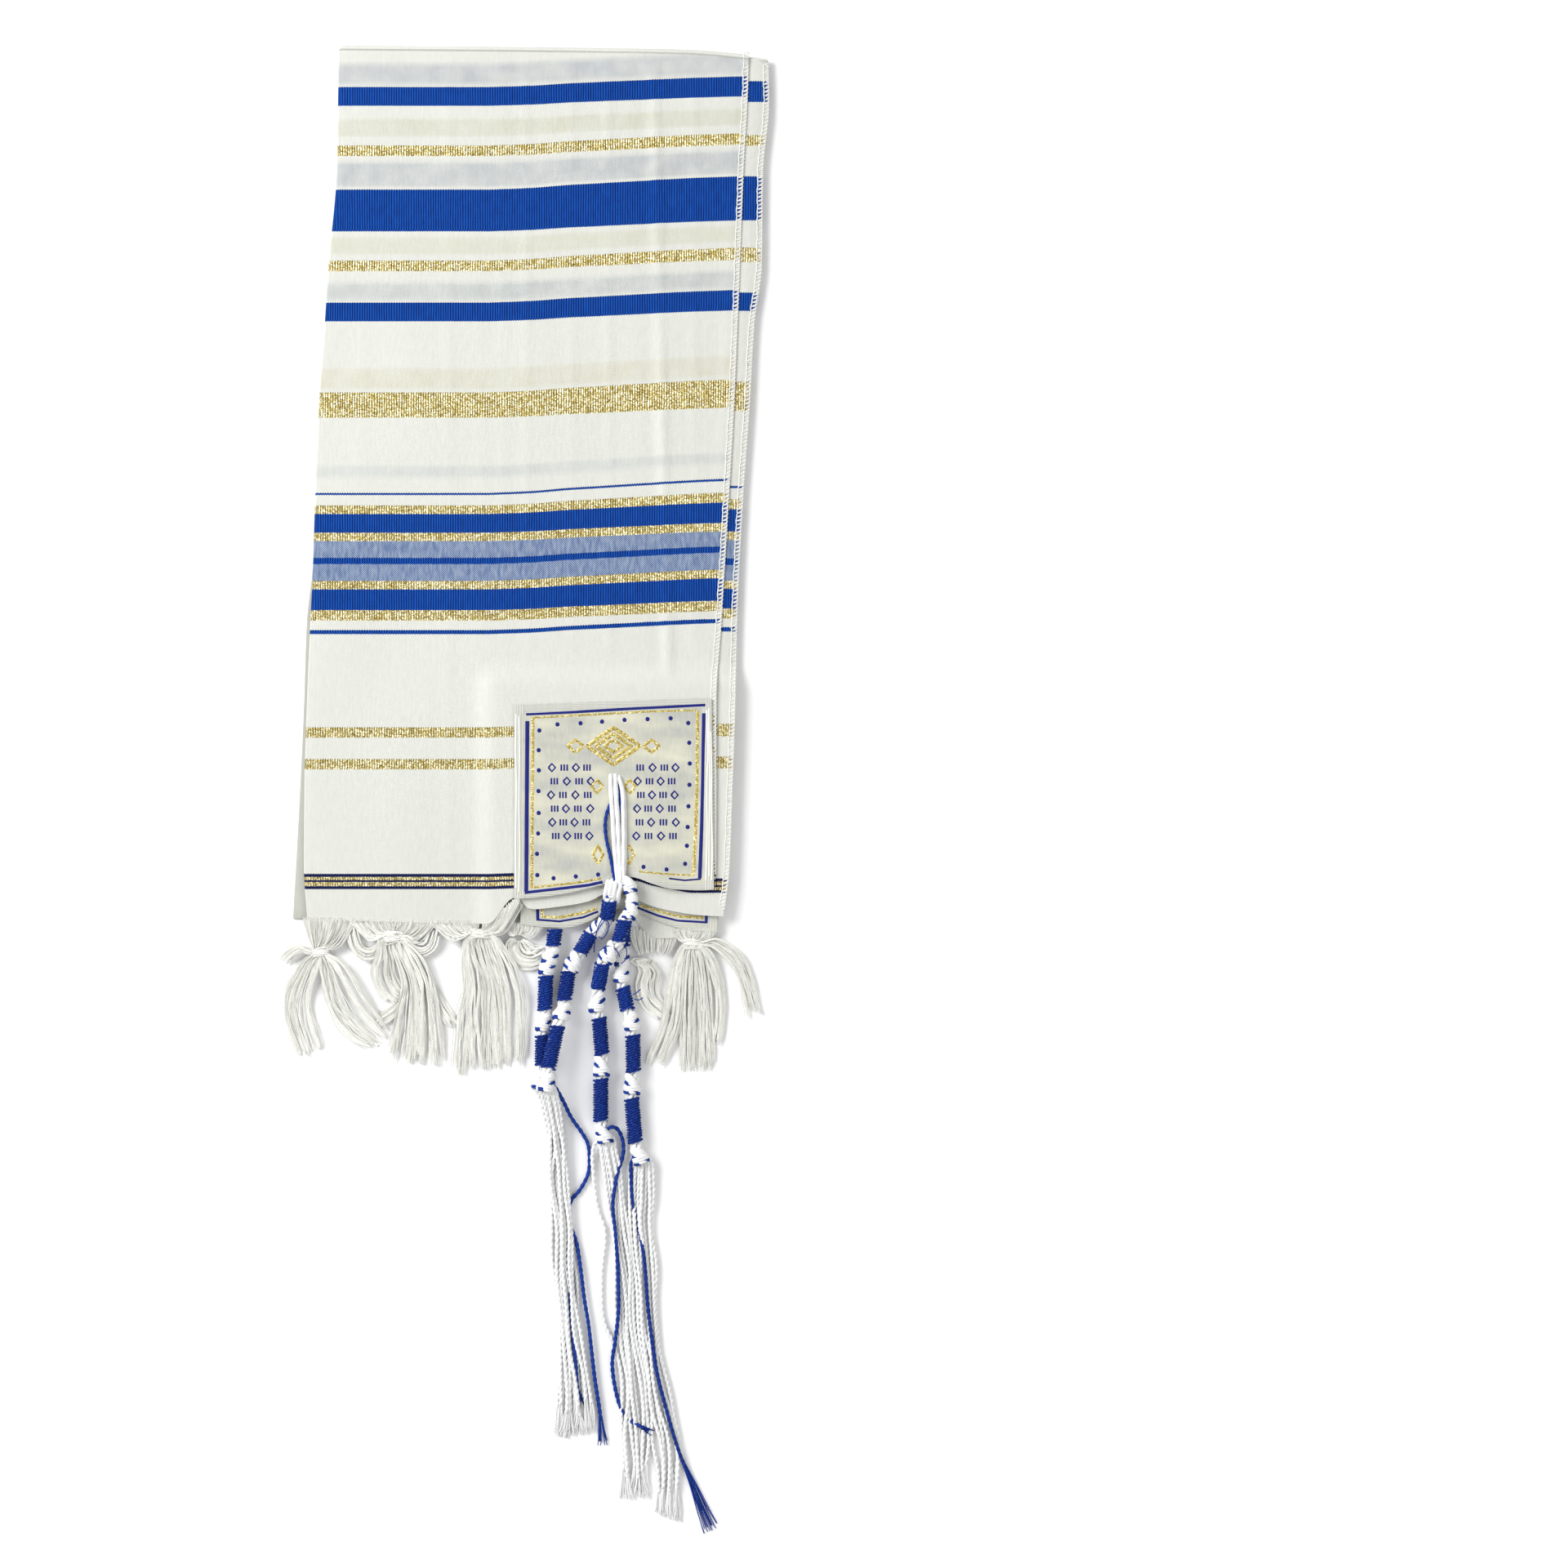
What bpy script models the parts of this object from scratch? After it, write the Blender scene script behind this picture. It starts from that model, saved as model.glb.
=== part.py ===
"""A prayer shawl folded flat: eight layers of striped cloth with four corner patches, four knotted
corner tassels and a knotted fringe. It lies on its back on the plane Z = 0.

X runs across the folded cloth, Y along it towards the folded top end, and Z up. All sizes in the
tables are real sizes in millimetres. Each mesh is scaled to metres when it is finished.
"""

import math
from typing import NamedTuple

import bmesh
import bpy
from mathutils import Matrix, Vector

MM = 0.001

# Thickness of the cloth, of the sewn patches and of the hidden layers, and the room between pieces
CLOTH = 1.0
PATCH = 1.0
HIDDEN_LAYERS = 2.4
GAP = 0.3

# Heights of the stack away from the patches
BACK_TOP = CLOTH
CORE_BOTTOM = BACK_TOP + GAP
CORE_TOP = CORE_BOTTOM + HIDDEN_LAYERS
SECOND_TOP = CORE_TOP + GAP + CLOTH
FRONT_TOP = SECOND_TOP + GAP + CLOTH

# Two patches lie between the core and the second layer and lift what is above them
PATCH_STEP = PATCH + GAP
PATCH_LIFT = 2 * PATCH_STEP

# The folds at the left side and at the top end
LEFT_FOLD_RADIUS = 1.6
LEFT_FOLD_ANGLES = (150.0, 110.0, 72.0, 34.0)
TOP_FOLD_RADIUS = FRONT_TOP / 2
SECOND_FOLD_RADIUS = TOP_FOLD_RADIUS - CLOTH - GAP
TOP_FOLD_ANGLES = (165.0, 128.0, 90.0, 55.0, 25.0)
TOP_CORNER_OPENING = 0.5


class SideRow(NamedTuple):
    """Where the layers' side edges lie at one height of the cloth."""

    y: float
    front_left: float
    front_right: float
    second_right: float
    back_left: float


SIDES = [
    SideRow(382.0, -94.7, 115.9, 125.5, -93.0),
    SideRow(353.0, -95.0, 114.9, 126.0, -93.0),
    SideRow(317.0, -95.7, 112.9, 122.9, -94.0),
    SideRow(270.0, -99.8, 111.1, 122.3, -98.0),
    SideRow(240.0, -101.8, 109.9, 118.5, -100.0),
    SideRow(200.0, -104.7, 108.2, 116.2, -103.0),
    SideRow(152.0, -106.7, 105.5, 112.8, -105.6),
    SideRow(112.0, -108.0, 103.1, 110.6, -108.7),
    SideRow(87.0, -109.2, 101.6, 109.6, -111.5),
    SideRow(44.0, -111.0, 99.0, 108.7, -113.0),
    SideRow(0.0, -112.3, 99.0, 107.2, -115.0),
    SideRow(-41.0, -112.5, 98.8, 105.6, -117.2),
    SideRow(-67.0, -110.7, 98.6, 102.3, -118.7),
]


class TopRow(NamedTuple):
    """The outline of the folded top end."""

    x: float
    y: float


TOP_END = [TopRow(-95.0, 382.4), TopRow(0.0, 381.6), TopRow(83.0, 380.3), TopRow(126.0, 376.6)]
TOP_SLANT_REACH = 60.0


class HemRow(NamedTuple):
    """Where the layers end at the hem, from the left side to the right one."""

    x: float
    front: float
    second: float
    core: float


HEM = [
    HemRow(-113.0, -66.2, -63.0, -61.5),
    HemRow(-60.0, -67.6, -64.0, -62.5),
    HemRow(-18.0, -68.4, -64.0, -62.5),
    HemRow(-4.5, -55.0, -54.0, -57.0),
    HemRow(4.0, -54.5, -61.0, -66.2),
    HemRow(20.4, -52.5, -59.4, -67.0),
    HemRow(33.8, -49.6, -56.9, -63.5),
    HemRow(43.5, -47.0, -52.8, -60.0),
    HemRow(52.0, -43.5, -52.8, -60.0),
    HemRow(60.0, -43.2, -56.9, -70.0),
    HemRow(67.0, -44.2, -59.6, -76.0),
    HemRow(77.0, -47.4, -62.0, -76.0),
    HemRow(87.0, -48.6, -63.6, -72.0),
    HemRow(98.8, -45.6, -64.5, -67.6),
    HemRow(106.0, -45.6, -64.7, -66.8),
]
BACK_END = -66.2


class PressLine(NamedTuple):
    """A soft line pressed into the front layer, and the grid cells from the line before it."""

    x_top: float
    x_bottom: float
    height: float
    cells_before: int


PRESS_LINES = [
    PressLine(-38.0, -38.0, 0.25, 5),
    PressLine(20.4, 20.4, 0.2, 5),
    PressLine(47.7, 47.7, 0.35, 2),
    PressLine(67.0, 75.0, 0.7, 2),
    PressLine(87.6, 87.6, 0.3, 1),
]
CELLS_AFTER_LAST_LINE = 2
FIRST_LIFTED_COLUMN = 7

# Lengthways places of the cross sections; the patches lie below the one named here
SECTION_YS = [366.0, 338.0, 302.0, 264.0, 226.0, 188.0, 150.0, 108.0, 66.0]
PATCH_SECTION_YS = [53.0, 25.0, 0.0, -20.0, -34.0]
COARSE_SECTION_YS = [366.0, 317.0, 270.0, 240.0, 200.0, 152.0, 110.0, 66.0]
PATCH_STARTS_BELOW = 60.0


class LayerLevel(NamedTuple):
    """One level of the core's layered rim: share of its height, and how far it stands out."""

    share: float
    outset: float


CORE_RIM = [LayerLevel(0.25, 0.9), LayerLevel(0.5, 0.1), LayerLevel(0.75, 0.8)]


class PatchPlan(NamedTuple):
    """A square patch: its sides, its top edge at the left and right, and its lower level."""

    name: str
    left: float
    right_top: float
    right_bottom: float
    top_left: float
    top_right: float
    bottom_z: float
    edge: str


class PatchEdgeRow(NamedTuple):
    """The patches' lower edges, which the knots draw up in the middle."""

    x: float
    upper: float
    middle: float
    lower: float
    hidden: float
    wave: float


PATCH_EDGES = [
    PatchEdgeRow(-4.5, -55.7, -58.0, -68.4, -55.0, 0.2),
    PatchEdgeRow(4.0, -55.2, -59.0, -69.6, -56.0, 0.0),
    PatchEdgeRow(20.4, -53.2, -57.4, -70.8, -57.0, 0.0),
    PatchEdgeRow(33.8, -50.2, -54.9, -67.4, -55.0, 0.3),
    PatchEdgeRow(43.5, -47.6, -50.9, -62.0, -54.0, 0.3),
    PatchEdgeRow(51.0, -44.2, -50.9, -61.0, -54.0, 0.3),
    PatchEdgeRow(57.0, -43.5, -53.0, -62.6, -54.0, 0.9),
    PatchEdgeRow(66.6, -44.7, -57.4, -66.4, -56.0, 1.8),
    PatchEdgeRow(77.1, -48.1, -60.0, -70.0, -57.0, 0.9),
    PatchEdgeRow(83.8, -49.4, -61.4, -71.8, -57.0, 0.2),
    PatchEdgeRow(91.8, -47.7, -62.0, -72.8, -57.0, 0.0),
    PatchEdgeRow(101.0, -45.8, -62.4, -73.2, -57.0, 0.0),
]

PATCHES = [
    PatchPlan("patch_1", -4.3, 96.8, 98.0, 43.3, 46.8, FRONT_TOP + PATCH_LIFT + GAP, "upper"),
    PatchPlan("patch_2", 0.0, 98.0, 98.0, 42.0, 43.0, CORE_TOP + GAP + PATCH_STEP, "middle"),
    PatchPlan("patch_3", -1.5, 99.5, 100.0, 34.0, 36.0, CORE_TOP + GAP, "lower"),
    PatchPlan("patch_4", 1.0, 97.0, 97.0, 38.0, 38.0, CORE_BOTTOM, "hidden"),
]
PATCH_COLUMNS = 10
PATCH_ROWS = 4

# Tassel cords: the white cord, the blue windings round it, and the strands below the last knot
CORD_SIDES = 8
SLEEVE_RADIUS = 4.1
SLEEVE_WALL = 1.3
CORD_IN_SLEEVE = SLEEVE_RADIUS - SLEEVE_WALL - GAP
KNOT_RADIUS = 4.4
KNOT_SHOULDER = 0.82
KNOT_SHOULDER_REACH = 0.52
KNOT_CLEARANCE = 0.45
LOOP_FLATNESS = 0.42
ROUND_LOOP_HALF_WIDTH = 2.0
CORD_END_REACH = 1.2
CORD_END_SIZE = 0.3
STRANDS = 8
STRAND_RADIUS = 0.8
STRAND_START = 0.6
STRAND_SWELL = 0.15
STRAND_STEP_OUT = 2.2
STRAND_INSET = 0.12


class Stop(NamedTuple):
    """A place on a tassel's cord. At a loop, start or knot it is the middle; windings have two ends."""

    kind: str
    x: float
    y: float
    z: float
    half_width: float = KNOT_RADIUS


TASSEL_STOPS = {
    "tassel_1": [
        Stop("loop", 46.4, 6.9, 12.2, 3.3),
        Stop("loop", 46.9, -8.0, 12.4, 4.2),
        Stop("loop", 48.3, -30.0, 13.0, 4.2),
        Stop("loop", 49.6, -43.0, 14.0, 3.6),
        Stop("knot", 46.2, -51.2, 13.4, 4.3),
        Stop("wind", 44.7, -56.4, 12.6),
        Stop("end", 43.3, -65.7, 9.6),
        Stop("knot", 40.0, -70.0, 7.6),
        Stop("wind", 34.8, -73.4, 6.2),
        Stop("end", 29.4, -83.0, 4.9),
        Stop("knot", 26.2, -88.4, 4.8),
        Stop("wind", 23.2, -93.2, 4.7),
        Stop("end", 21.2, -107.6, 5.4),
        Stop("knot", 20.0, -114.2, 7.2, 4.3),
        Stop("wind", 17.9, -121.0, 10.2),
        Stop("end", 13.4, -142.0, 12.9),
        Stop("knot", 12.7, -149.5, 13.4, 4.2),
    ],
    "tassel_2": [
        Stop("loop", 57.4, -47.4, 11.8, 1.6),
        Stop("knot", 56.2, -54.0, 12.6, 4.0),
        Stop("knot", 55.0, -60.2, 13.2, 3.7),
        Stop("wind", 52.2, -66.0, 13.5),
        Stop("end", 49.7, -77.0, 13.3),
        Stop("knot", 44.9, -83.2, 11.8),
        Stop("wind", 40.9, -88.4, 9.2),
        Stop("end", 38.5, -101.4, 5.0),
        Stop("knot", 37.8, -109.0, 4.8),
        Stop("wind", 38.9, -117.0, 4.7),
        Stop("end", 40.5, -135.6, 4.7),
        Stop("knot", 40.4, -141.8, 4.8, 4.3),
        Stop("wind", 39.8, -148.2, 4.7),
        Stop("end", 39.8, -169.6, 4.7),
        Stop("knot", 41.4, -176.4, 4.8),
    ],
    "tassel_3": [
        Stop("loop", 51.6, -66.0, 4.5, 1.6),
        Stop("wind", 51.4, -69.4, 4.5),
        Stop("end", 51.0, -79.6, 4.5),
        Stop("knot", 50.6, -86.0, 4.6, 3.9),
        Stop("knot", 50.2, -94.2, 4.7, 4.1),
        Stop("wind", 51.0, -101.4, 4.7),
        Stop("end", 53.5, -112.4, 4.7),
        Stop("knot", 55.4, -118.9, 4.8, 4.2),
        Stop("wind", 56.2, -125.8, 4.7),
        Stop("end", 56.6, -144.4, 4.7),
        Stop("knot", 56.0, -151.2, 4.8, 4.3),
        Stop("wind", 55.6, -158.2, 4.7),
        Stop("end", 57.6, -180.6, 4.7),
        Stop("knot", 59.8, -187.4, 4.8),
    ],
    "tassel_4": [
        Stop("loop", 16.4, -72.4, 4.5, 1.8),
        Stop("wind", 16.2, -74.2, 4.5),
        Stop("end", 15.5, -79.4, 4.5),
        Stop("knot", 14.0, -85.0, 4.6, 4.0),
        Stop("knot", 12.4, -90.4, 4.6, 4.0),
        Stop("wind", 11.6, -95.4, 4.6, 4.0),
        Stop("end", 11.1, -112.6, 4.6),
        Stop("knot", 10.4, -119.2, 4.6, 4.0),
        Stop("wind", 9.9, -125.8, 4.5),
        Stop("end", 9.8, -140.8, 4.5),
        Stop("knot", 8.6, -148.6, 4.4, 3.9),
        Stop("knot", 8.2, -154.6, 4.2, 3.4),
    ],
}


class TailRow(NamedTuple):
    """Half the spread of a tassel's strands and their middle, at one distance along the garment."""

    y: float
    middle: float
    spread: float
    z: float


TAILS = {
    "tassel_1": [
        TailRow(-163.0, 15.5, 6.4, 9.0),
        TailRow(-190.0, 17.5, 6.6, 3.9),
        TailRow(-224.0, 19.5, 7.0, 3.7),
        TailRow(-266.0, 24.5, 8.0, 3.6),
        TailRow(-308.0, 28.5, 9.6, 3.6),
        TailRow(-331.0, 31.0, 10.4, 3.5),
    ],
    "tassel_2": [
        TailRow(-190.0, 42.0, 6.2, 2.6),
        TailRow(-224.0, 44.0, 7.0, 1.4),
        TailRow(-266.0, 48.0, 7.6, 1.3),
        TailRow(-308.0, 53.0, 7.6, 1.3),
        TailRow(-340.0, 57.5, 7.8, 1.2),
        TailRow(-366.0, 60.0, 8.0, 1.2),
    ],
    "tassel_3": [
        TailRow(-200.0, 60.8, 6.2, 2.6),
        TailRow(-228.0, 61.0, 6.6, 1.4),
        TailRow(-266.0, 65.0, 7.4, 1.3),
        TailRow(-308.0, 70.4, 7.2, 1.3),
        TailRow(-340.0, 75.0, 7.4, 1.2),
        TailRow(-376.0, 77.2, 8.0, 1.2),
    ],
    "tassel_4": [
        TailRow(-168.0, 10.0, 6.2, 2.0),
        TailRow(-190.0, 14.0, 7.0, 1.3),
        TailRow(-224.0, 18.0, 7.4, 1.2),
        TailRow(-266.0, 22.5, 7.8, 1.2),
        TailRow(-308.0, 25.5, 9.0, 1.2),
        TailRow(-334.0, 21.0, 9.4, 1.2),
    ],
}
TAIL_UNEVEN = 0.036
WHITE_STEPS = 7
BLUE_STEPS = 12


class RouteRow(NamedTuple):
    """A place on the way of one strand or of the middle of a lock of yarns."""

    x: float
    y: float
    z: float
    width: float = 0.0


# The blue strand of three tassels lies apart from the white ones or on them
BLUE_ORDER = {"tassel_1": STRANDS - 1, "tassel_2": STRANDS - 1, "tassel_3": 0}
BLUE_ROUTES = {
    "tassel_1": [
        RouteRow(22.5, -161.0, 9.0),
        RouteRow(30.0, -174.0, 5.0),
        RouteRow(34.0, -184.0, 2.4),
        RouteRow(33.0, -197.0, 1.6),
        RouteRow(28.6, -214.0, 2.4),
        RouteRow(28.8, -232.5, 3.4),
        RouteRow(32.6, -262.0, 3.2),
        RouteRow(36.6, -288.0, 2.4),
        RouteRow(39.6, -310.0, 1.5),
        RouteRow(41.2, -338.0, 1.2),
    ],
    "tassel_2": [
        RouteRow(49.6, -182.5, 4.0),
        RouteRow(51.8, -189.5, 3.6),
        RouteRow(47.0, -205.0, 3.8),
        RouteRow(48.6, -249.0, 3.2),
        RouteRow(48.6, -270.0, 3.2),
        RouteRow(46.6, -292.0, 3.2),
        RouteRow(50.5, -317.0, 3.2),
        RouteRow(60.3, -325.5, 3.2),
        RouteRow(68.7, -332.0, 3.2),
    ],
    "tassel_3": [
        RouteRow(54.6, -198.0, 4.2),
        RouteRow(56.0, -214.0, 4.0),
        RouteRow(61.9, -237.0, 3.3),
        RouteRow(64.4, -268.0, 3.3),
        RouteRow(72.0, -311.0, 3.3),
        RouteRow(78.0, -334.5, 3.3),
        RouteRow(86.8, -354.0, 2.6),
        RouteRow(92.4, -370.0, 1.6),
        RouteRow(98.2, -381.6, 1.2),
    ],
}


class Lock(NamedTuple):
    """Yarns that leave a fringe knot side by side, between two angles counted clockwise."""

    first_angle: float
    last_angle: float
    yarns: int
    route: list
    ends: tuple = ()


class FringeKnot(NamedTuple):
    """A knot of the hem's fringe and its locks, in clockwise order seen from above."""

    x: float
    y: float
    z: float
    radius_x: float
    radius_y: float
    locks: list


HEM_YARN_Z = FRONT_TOP - CLOTH / 2
FRINGE = {
    "fringe_1": FringeKnot(-104.0, -83.0, 4.0, 3.7, 3.4, [
        Lock(150.0, 35.0, 8, [], ((-109.0, -67.6, HEM_YARN_Z), (-93.5, -68.1, HEM_YARN_Z))),
        Lock(-34.0, -86.0, 6, [
            RouteRow(-99.6, -93.0, 3.9, 8.0),
            RouteRow(-93.5, -109.0, 3.4, 12.5),
            RouteRow(-81.6, -122.3, 2.2, 12.5),
            RouteRow(-71.2, -130.0, 1.3, 9.0),
        ]),
        Lock(-97.0, -152.0, 5, [
            RouteRow(-112.0, -92.0, 3.4, 7.0),
            RouteRow(-118.0, -102.0, 1.9, 10.0),
            RouteRow(-118.6, -114.0, 1.4, 11.0),
            RouteRow(-110.6, -136.4, 1.2, 12.0),
        ]),
        Lock(-163.0, -193.0, 3, [
            RouteRow(-114.0, -81.0, 4.0, 4.0),
            RouteRow(-120.0, -84.5, 2.4, 5.0),
            RouteRow(-123.0, -89.4, 1.4, 5.0),
        ]),
    ]),
    "fringe_2": FringeKnot(-66.6, -75.4, 4.2, 4.2, 3.4, [
        Lock(200.0, 172.0, 3, [
            RouteRow(-74.8, -79.2, 3.6, 3.2),
            RouteRow(-81.4, -84.0, 2.6, 3.4),
            RouteRow(-86.8, -79.0, 3.8, 3.6),
            RouteRow(-88.2, -69.0, 5.4, 4.0),
        ]),
        Lock(150.0, 30.0, 8, [], ((-81.0, -68.2, HEM_YARN_Z), (-52.0, -68.7, HEM_YARN_Z))),
        Lock(5.0, -20.0, 3, [
            RouteRow(-56.8, -80.8, 2.8, 2.8),
            RouteRow(-51.0, -91.0, 1.5, 3.8),
            RouteRow(-44.0, -107.0, 1.3, 4.6),
            RouteRow(-34.6, -122.8, 1.2, 5.4),
        ]),
        Lock(-30.0, -98.0, 7, [
            RouteRow(-59.0, -88.0, 4.6, 9.0),
            RouteRow(-54.6, -100.0, 4.4, 13.0),
            RouteRow(-55.6, -116.0, 3.4, 16.0),
            RouteRow(-57.6, -138.8, 1.4, 19.0),
        ]),
        Lock(-106.0, -150.0, 4, [
            RouteRow(-72.6, -86.0, 3.6, 6.4),
            RouteRow(-74.6, -94.0, 2.2, 8.6),
            RouteRow(-72.0, -101.0, 1.5, 8.6),
            RouteRow(-65.0, -107.0, 1.2, 7.6),
        ]),
    ]),
    "fringe_3": FringeKnot(-22.1, -73.6, 4.2, 5.0, 2.9, [
        Lock(165.0, 110.0, 4, [], ((-37.0, -69.1, HEM_YARN_Z), (-22.6, -69.3, HEM_YARN_Z))),
        Lock(78.0, 6.0, 5, [], ((-19.6, -69.9, 6.2), (-2.9, -57.0, 8.4))),
        Lock(-22.0, -78.0, 5, [
            RouteRow(-15.4, -82.0, 3.8, 6.6),
            RouteRow(-10.6, -93.0, 3.0, 9.6),
            RouteRow(-7.6, -110.0, 1.8, 12.0),
            RouteRow(-8.2, -140.6, 1.3, 9.4),
        ]),
        Lock(-100.0, -158.0, 6, [
            RouteRow(-26.6, -84.0, 3.8, 8.6),
            RouteRow(-22.6, -102.0, 2.4, 10.6),
            RouteRow(-24.4, -118.0, 1.6, 12.6),
            RouteRow(-23.8, -142.0, 1.3, 14.0),
        ]),
    ]),
    "fringe_4": FringeKnot(-2.2, -76.0, 3.2, 3.2, 2.2, [
        Lock(140.0, 50.0, 3, [], ((-5.6, -70.3, 3.4), (1.4, -71.0, 3.2))),
        Lock(-50.0, -80.0, 2, [
            RouteRow(0.4, -80.6, 2.4, 2.2),
            RouteRow(3.0, -83.2, 1.8, 2.2),
            RouteRow(7.8, -83.8, 1.6, 2.2),
        ]),
        Lock(-110.0, -170.0, 3, [
            RouteRow(-6.4, -81.4, 2.2, 3.2),
            RouteRow(-3.8, -86.6, 1.4, 3.2),
            RouteRow(2.0, -88.6, 1.3, 3.4),
            RouteRow(8.0, -88.6, 1.3, 3.8),
        ]),
    ]),
    "fringe_5": FringeKnot(69.0, -87.4, 3.0, 3.6, 2.6, [
        Lock(155.0, 25.0, 7, [], ((61.4, -75.4, 2.8), (78.0, -78.4, 2.8))),
        Lock(-95.0, -150.0, 4, [
            RouteRow(64.4, -94.0, 2.2, 4.4),
            RouteRow(62.4, -101.0, 1.4, 4.4),
            RouteRow(65.4, -109.4, 1.2, 5.0),
            RouteRow(74.6, -117.2, 1.2, 5.6),
        ]),
    ]),
    "fringe_6": FringeKnot(87.0, -78.6, 4.0, 4.4, 2.9, [
        Lock(150.0, 30.0, 5, [], ((80.6, -74.8, 4.6), (94.6, -74.2, 4.6))),
        Lock(12.0, -12.0, 3, [
            RouteRow(99.0, -78.0, 3.8, 3.8),
            RouteRow(108.8, -84.6, 2.6, 4.8),
            RouteRow(114.6, -98.0, 1.5, 4.6),
            RouteRow(119.2, -115.8, 1.2, 5.6),
        ]),
        Lock(-22.0, -48.0, 3, [
            RouteRow(97.0, -87.0, 3.2, 3.6),
            RouteRow(101.4, -100.0, 1.8, 3.8),
            RouteRow(102.6, -114.0, 1.3, 4.0),
            RouteRow(99.8, -131.0, 1.2, 4.0),
        ]),
        Lock(-56.0, -86.0, 3, [
            RouteRow(90.8, -90.0, 3.4, 4.6),
            RouteRow(92.0, -106.0, 2.2, 5.2),
            RouteRow(92.8, -122.0, 1.5, 5.6),
            RouteRow(93.4, -144.2, 1.2, 7.0),
        ]),
        Lock(-92.0, -118.0, 3, [
            RouteRow(85.2, -90.0, 3.4, 4.6),
            RouteRow(84.8, -106.0, 2.6, 5.2),
            RouteRow(84.4, -122.0, 1.8, 5.8),
            RouteRow(83.8, -144.4, 1.2, 6.6),
        ]),
        Lock(-126.0, -156.0, 4, [
            RouteRow(79.6, -90.0, 3.8, 5.0),
            RouteRow(78.0, -104.0, 3.4, 6.4),
            RouteRow(75.6, -120.0, 3.0, 7.6),
            RouteRow(66.6, -142.0, 1.3, 7.8),
        ]),
    ]),
}
KNOT_HEIGHT = 4.4
KNOT_BAND = 0.36
KNOT_CROWN = 0.66
YARN_FILL = 0.76
YARN_HEIGHT = 0.9
YARN_STEP_OUT = 1.0
YARN_STEP_SIZE = (0.2, 0.4)
HEM_YARN_SIZE = (0.8, 0.35)
YARN_INSET = 0.16
YARN_UNEVEN = 1.1


class Finish(NamedTuple):
    """A plain colour and how rough it is."""

    name: str
    colour: tuple
    roughness: float
    metallic: float = 0.0


WHITE_CLOTH = Finish("white_cloth", (0.86, 0.86, 0.83, 1.0), 0.85)
PATCH_CLOTH = Finish("patch_cloth", (0.74, 0.73, 0.62, 1.0), 0.8)
WHITE_CORD = Finish("white_cord", (0.88, 0.88, 0.86, 1.0), 0.8)
BLUE_CORD = Finish("blue_cord", (0.02, 0.04, 0.3, 1.0), 0.75)
FRINGE_YARN = Finish("fringe_yarn", (0.88, 0.88, 0.84, 1.0), 0.6)


def clear_scene():
    """Takes away whatever the scene holds."""
    for old in list(bpy.data.objects):
        bpy.data.objects.remove(old, do_unlink=True)


def material_for(finish):
    """The material of a finish, made once."""
    found = bpy.data.materials.get(finish.name)
    if found:
        return found
    made = bpy.data.materials.new(finish.name)
    made.use_nodes = True
    shader = made.node_tree.nodes["Principled BSDF"]
    shader.inputs["Base Color"].default_value = finish.colour
    shader.inputs["Roughness"].default_value = finish.roughness
    shader.inputs["Metallic"].default_value = finish.metallic
    return made


def add_piece(name, mesh, finish, smooth=True):
    """Puts a mesh made in millimetres into the scene as one object, in metres."""
    mesh.transform(Matrix.Scale(MM, 4))
    if smooth:
        mesh.shade_smooth()
    mesh.materials.append(material_for(finish))
    piece = bpy.data.objects.new(name, mesh)
    bpy.context.scene.collection.objects.link(piece)
    return piece


def shared_slope(before, after):
    """The slope of a curve at a table's row that never swings past the row's value."""
    return 2 * before * after / (before + after) if before * after > 0 else 0.0


def read_row(rows, key, value, at):
    """Reads one column of a table at a place between its rows, along a smooth curve."""
    ordered = sorted(rows, key=lambda row: getattr(row, key))
    places = [getattr(row, key) for row in ordered]
    values = [getattr(row, value) for row in ordered]
    if at <= places[0]:
        return values[0]
    if at >= places[-1]:
        return values[-1]
    slopes = [(values[k + 1] - values[k]) / (places[k + 1] - places[k]) for k in range(len(places) - 1)]
    k = max(n for n in range(len(slopes)) if places[n] <= at)
    start_slope = shared_slope(slopes[k - 1], slopes[k]) if k else slopes[0]
    end_slope = shared_slope(slopes[k], slopes[k + 1]) if k + 1 < len(slopes) else slopes[-1]
    step = places[k + 1] - places[k]
    t = (at - places[k]) / step
    return (
        values[k] * (2 * t**3 - 3 * t**2 + 1)
        + start_slope * step * (t**3 - 2 * t**2 + t)
        + values[k + 1] * (3 * t**2 - 2 * t**3)
        + end_slope * step * (t**3 - t**2)
    )


def curve_points(controls, steps):
    """Points evenly spread in parameter along a smooth curve through the controls."""
    last = len(controls) - 1
    points = []
    for n in range(steps + 1):
        place = min(last * n / steps, last - 1e-9)
        k = int(place)
        t = place - k
        before = controls[max(k - 1, 0)]
        start, end = controls[k], controls[k + 1]
        after = controls[min(k + 2, last)]
        points.append(
            0.5
            * (
                2 * start
                + (end - before) * t
                + (2 * before - 5 * start + 4 * end - after) * t**2
                + (3 * start - before - 3 * end + after) * t**3
            )
        )
    return points


def top_end(x):
    """How far the folded top end reaches at x."""
    return read_row(TOP_END, "x", "y", x)


def hem_end(x, layer):
    """Where a layer ends at the hem at x."""
    return read_row(HEM, "x", layer, x)


def column_shares():
    """The grid columns between the left side and the right one: a press line and a share of the
    way to the next, so that each layer can be sampled along the same lines."""
    columns = []
    for index, line in enumerate(PRESS_LINES):
        columns += [(index, cell / line.cells_before) for cell in range(line.cells_before)]
    last = len(PRESS_LINES)
    columns += [(last, cell / CELLS_AFTER_LAST_LINE) for cell in range(CELLS_AFTER_LAST_LINE + 1)]
    return columns


COLUMNS = column_shares()


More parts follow.
